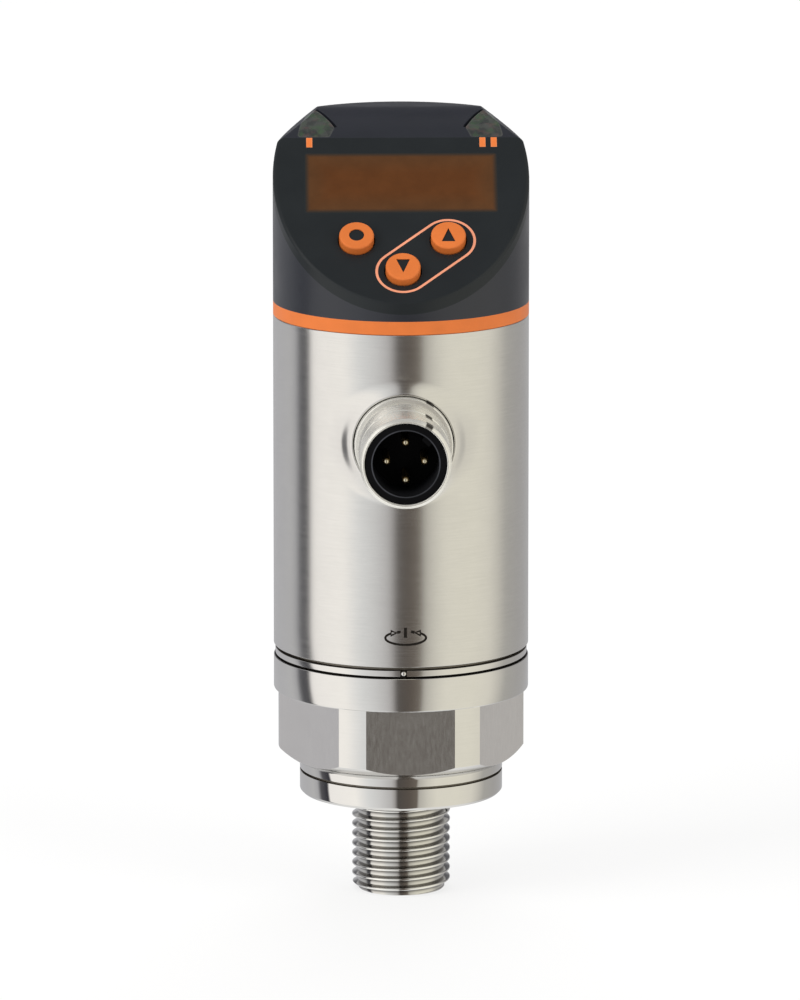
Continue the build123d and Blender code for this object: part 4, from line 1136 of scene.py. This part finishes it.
def make_sleeve():
    """Drawn steel sleeve: rounded ends, and a lip that swells smoothly out of the wall."""
    skin = Skin()
    spread = [-PATCH_HALF + 2 * PATCH_HALF * k / PATCH_CELLS for k in range(PATCH_CELLS + 1)]
    edge_turn = math.asin(PATCH_HALF / SLEEVE_RADIUS)
    rest = SLEEVE_REAR_COLUMNS
    turns = [math.asin(x / SLEEVE_RADIUS) for x in spread]
    turns += [edge_turn + (2 * math.pi - 2 * edge_turn) * k / rest for k in range(1, rest)]
    outer_ends = eased(
        [(16.4, SLEEVE_BOTTOM, 0), (17.0, SLEEVE_BOTTOM, 0.12), (17.0, 30.0, 0)], closed=False)
    inner_ends = [(SLEEVE_BORE, SLEEVE_BOTTOM + 0.1), (SLEEVE_BORE + 0.1, SLEEVE_BOTTOM)]
    rows = [PLUG_Z + s for s in spread]
    low, high = SLEEVE_LOW_ROWS, SLEEVE_HIGH_ROWS
    top_ends = eased(
        [(17.0, 64.0, 0), (17.0, SLEEVE_TOP, 0.26), (16.4, SLEEVE_TOP, 0)], closed=False)
    bottom_profile = inner_ends + outer_ends[:-1]
    wall = [(17.0, z) for z in low + rows + high]
    top_profile = top_ends[1:] + [(SLEEVE_BORE + 0.1, SLEEVE_TOP), (SLEEVE_BORE, SLEEVE_TOP - 0.1)]
    inner_heights = [high[0]] + rows[::-1] + [low[2], low[0]]
    inside = [(SLEEVE_BORE, z) for z in inner_heights]
    profile = bottom_profile + wall + top_profile + inside
    first_row = len(bottom_profile) + len(low)
    last_row = first_row + len(rows) - 1
    inner_first = len(profile) - 2 - len(rows)
    columns = []
    for turn in turns:
        x, y = math.sin(turn), -math.cos(turn)
        columns.append([skin.corner((r * x, r * y, z)) for r, z in profile])
    for i, here in enumerate(columns):
        there = columns[(i + 1) % len(columns)]
        in_patch = i < PATCH_CELLS
        for k in range(len(here)):
            open_wall = in_patch and first_row <= k < last_row
            open_inside = in_patch and inner_first <= k < inner_first + len(rows) - 1
            if not open_wall and not open_inside:
                n = (k + 1) % len(here)
                skin.face([here[k], there[k], there[n], here[n]])
    spokes = []
    for px, pz in square_outline():
        away = math.hypot(px, pz)
        ux, uz = px / away, pz / away
        side = ux * ux
        outer = flare_end(side)
        spoke = []
        for share in (0.0, 0.25, 0.5, 0.75, 0.9):
            r = away + (outer - away) * share
            x, z = ux * r, PLUG_Z + uz * r
            spoke.append(skin.corner((x, -math.sqrt(SLEEVE_RADIUS**2 - x**2), z)))
        slope, roll = FLARE_ROWS, ROLL_ROWS
        slope_radii = [outer - (outer - LIP_ROLL) * k / slope for k in range(slope + 1)]
        roll_radii = [LIP_ROLL - (LIP_ROLL - LIP_EDGE) * k / roll for k in range(1, roll + 1)]
        for r in slope_radii + roll_radii:
            spoke.append(skin.corner((ux * r, -flare_depth(r, side), PLUG_Z + uz * r)))
        for r, drop in LIP_INNER_EDGE:
            spoke.append(skin.corner((ux * r, drop - lip_reach(side), PLUG_Z + uz * r)))
        x, z = ux * LIP_BORE, PLUG_Z + uz * LIP_BORE
        spoke.append(skin.corner((x, -math.sqrt(SLEEVE_BORE**2 - x**2), z)))
        for share in (0.4, 0.8, 1.0):
            r = LIP_BORE + (away - LIP_BORE) * share
            inward = 1 - share + share * SLEEVE_BORE / SLEEVE_RADIUS
            x, z = ux * r * inward, PLUG_Z + uz * r
            spoke.append(skin.corner((x, -math.sqrt(SLEEVE_BORE**2 - x**2), z)))
        spokes.append(spoke)
    skin.grid(spokes)

    def under_edge(middle):
        # Painted shade on the sleeve's lower end face
        return "painted_half_shade_gap" if middle.z < SLEEVE_BOTTOM + 0.01 else None

    skin.finish("drawn_sleeve", "housing", "brushed_sleeve", ["housing_sleeve"], sharp=35.0,
                parts=["painted_half_shade_gap"], part_of=under_edge)


# Sign for the turning housing, marked on the sleeve

SIGN_X = 0.27
SIGN_Z = 24.26
SIGN_HALF_WIDTH = 2.70
SIGN_HALF_HEIGHT = 0.90
SIGN_STROKE = 0.30
SIGN_LIFT = 0.015
SIGN_BAR = [(-0.04, 0.05), (-0.04, 0.5), (-0.04, 0.95), (-0.04, 1.42)]
# One of the two arrows, from the sign's middle
SIGN_SHAFT = [(1.16, 0.76), (0.92, 0.82), (0.68, 0.86)]
SIGN_HEAD = [(1.22, 0.72), (1.92, 0.98), (1.95, 0.34)]
SIGN_HEAD_STROKE = 0.34


def sign_strip(skin, path, width, closed=False):
    """Thin raised strip along a path on the unrolled sleeve, measured from the sign's middle."""
    columns = []
    last = len(path) - 1
    for i, (u, v) in enumerate(path):
        back = path[i - 1] if closed or i else path[0]
        ahead = path[(i + 1) % len(path)] if closed else path[min(i + 1, last)]
        along = Vector((ahead[0] - back[0], ahead[1] - back[1])).normalized() * width / 2
        column = []
        for across, lift in ((1, 1), (-1, 1), (-1, -1), (1, -1)):
            turn = (SIGN_X + u - across * along.y) / SLEEVE_RADIUS
            radius = SLEEVE_RADIUS + lift * SIGN_LIFT
            height = SIGN_Z + v + across * along.x
            column.append(skin.corner((radius * math.sin(turn), -radius * math.cos(turn), height)))
        columns.append(column)
    skin.grid(columns, closed_round=closed, closed_along=True)
    if not closed:
        skin.face(columns[0])
        skin.face(columns[-1])


def make_turning_sign():
    """Upright bar inside a flat ring that has an arrowhead on each side of its gap."""
    def on_ring(degrees):
        turn = math.radians(degrees)
        return SIGN_HALF_WIDTH * math.cos(turn), SIGN_HALF_HEIGHT * math.sin(turn)
    skin = Skin()
    sign_strip(skin, [on_ring(136 + 268 * k / 64) for k in range(65)], SIGN_STROKE)
    sign_strip(skin, SIGN_BAR, SIGN_STROKE * 1.35)
    for side in (-1, 1):
        sign_strip(skin, [(side * u, v) for u, v in SIGN_SHAFT], SIGN_STROKE * 1.25)
        sign_strip(skin, [(side * u, v) for u, v in SIGN_HEAD], SIGN_HEAD_STROKE, closed=True)
    skin.finish("turning_sign", "housing", "cover_plastic", sharp=40.0, look="laser_mark")


# Plug connector's shell

PLUG_PITCH = 1.0
PLUG_RADIUS = 6.0
PLUG_DEPTH = 0.07
PLUG_START = 19.9
PLUG_LINE = 24.3
PLUG_LINE_HALF = 0.17
PLUG_LINE_DEPTH = 0.14
PLUG_END = 30.15
PLUG_RUN_IN = 0.5
PLUG_COLUMNS = 144
PLUG_PITCH_ROWS = 8


def plug_thread_column(turn, rows):
    """(radius, reach) points of the fine thread in one direction, with its line groove."""
    points = []
    laps = int((PLUG_END - PLUG_START) / PLUG_PITCH) + 2
    for lap in range(laps):
        for share in rows:
            reach = PLUG_START + PLUG_PITCH * (lap + share + turn / (2 * math.pi) - 1)
            reach = min(max(reach, PLUG_START), PLUG_END)
            phase = ((reach - PLUG_START) / PLUG_PITCH - turn / (2 * math.pi)) % 1.0
            ends = min(1.0, (reach - PLUG_START) / PLUG_RUN_IN, (PLUG_END - reach) / PLUG_RUN_IN)
            wave = (1 - math.cos(2 * math.pi * phase)) / 2
            line = PLUG_LINE_DEPTH if abs(reach - PLUG_LINE) < PLUG_LINE_HALF else 0.0
            points.append((PLUG_RADIUS - PLUG_DEPTH * wave * ends - line, reach))
    return points


# Profiles of (radius, reach, rounding) points, behind the thread and in front of it
PLUG_REAR_PROFILE = [
    (5.4, 19.8, 0), (4.85, 19.8, 0), (4.85, 12.607, 0.1), (7.6, 12.607, 0.1), (7.6, 14.107, 0.1),
    (6.5, 14.107, 0), (6.5, 15.607, 0), (5.7, 15.607, 0), (5.7, 16.807, 0), (6.5, 16.807, 0),
    (6.5, 18.5, 0.22), (5.5, 18.5, 0.08), (5.5, 19.3, 0.08), (6.0, PLUG_START, 0),
]
PLUG_RIM_PROFILE = [
    (6.0, PLUG_END, 0), (6.0, 30.18, 0.1), (5.62, 30.6, 0.12), (5.4, 30.6, 0.06), (5.4, 19.8, 0),
]


def make_plug_shell():
    """Connector body with its inner flange, seal groove, fine thread and rounded rim."""
    rear = eased(PLUG_REAR_PROFILE, closed=False, steps=3)
    rim = eased(PLUG_RIM_PROFILE, closed=False, steps=3)
    rows = [k / PLUG_PITCH_ROWS for k in range(PLUG_PITCH_ROWS)]
    skin = Skin()
    lanes = []
    for turn in even_turns(PLUG_COLUMNS):
        x, z = math.cos(turn), math.sin(turn)
        def ring(points):
            return [skin.corner((r * x, -reach, PLUG_Z + r * z)) for r, reach in points]
        lanes.append((ring(rear[:-1]), ring(plug_thread_column(turn, rows)), ring(rim[1:])))
    for i, (back, thread, front) in enumerate(lanes):
        next_back, next_thread, next_front = lanes[(i + 1) % len(lanes)]
        if i == len(lanes) - 1:
            next_thread = next_thread[len(rows):] + [next_thread[-1]] * len(rows)
        skin.grid([back + thread + front, next_back + next_thread + next_front], closed_round=False)
    skin.finish("threaded_plug_shell", "housing", "turned_steel", ["connector_shell"], sharp=28.0,
                look="plug_steel")


make_camera()
make_world()
make_floor()
make_lamps()
finishes = make_finishes()
dress_cad_nodes(finishes)
make_process_connection()
make_base_ring()
make_index_pin()
make_sleeve()
make_turning_sign()
make_plug_shell()

bpy.context.scene.view_settings.view_transform = "Standard"
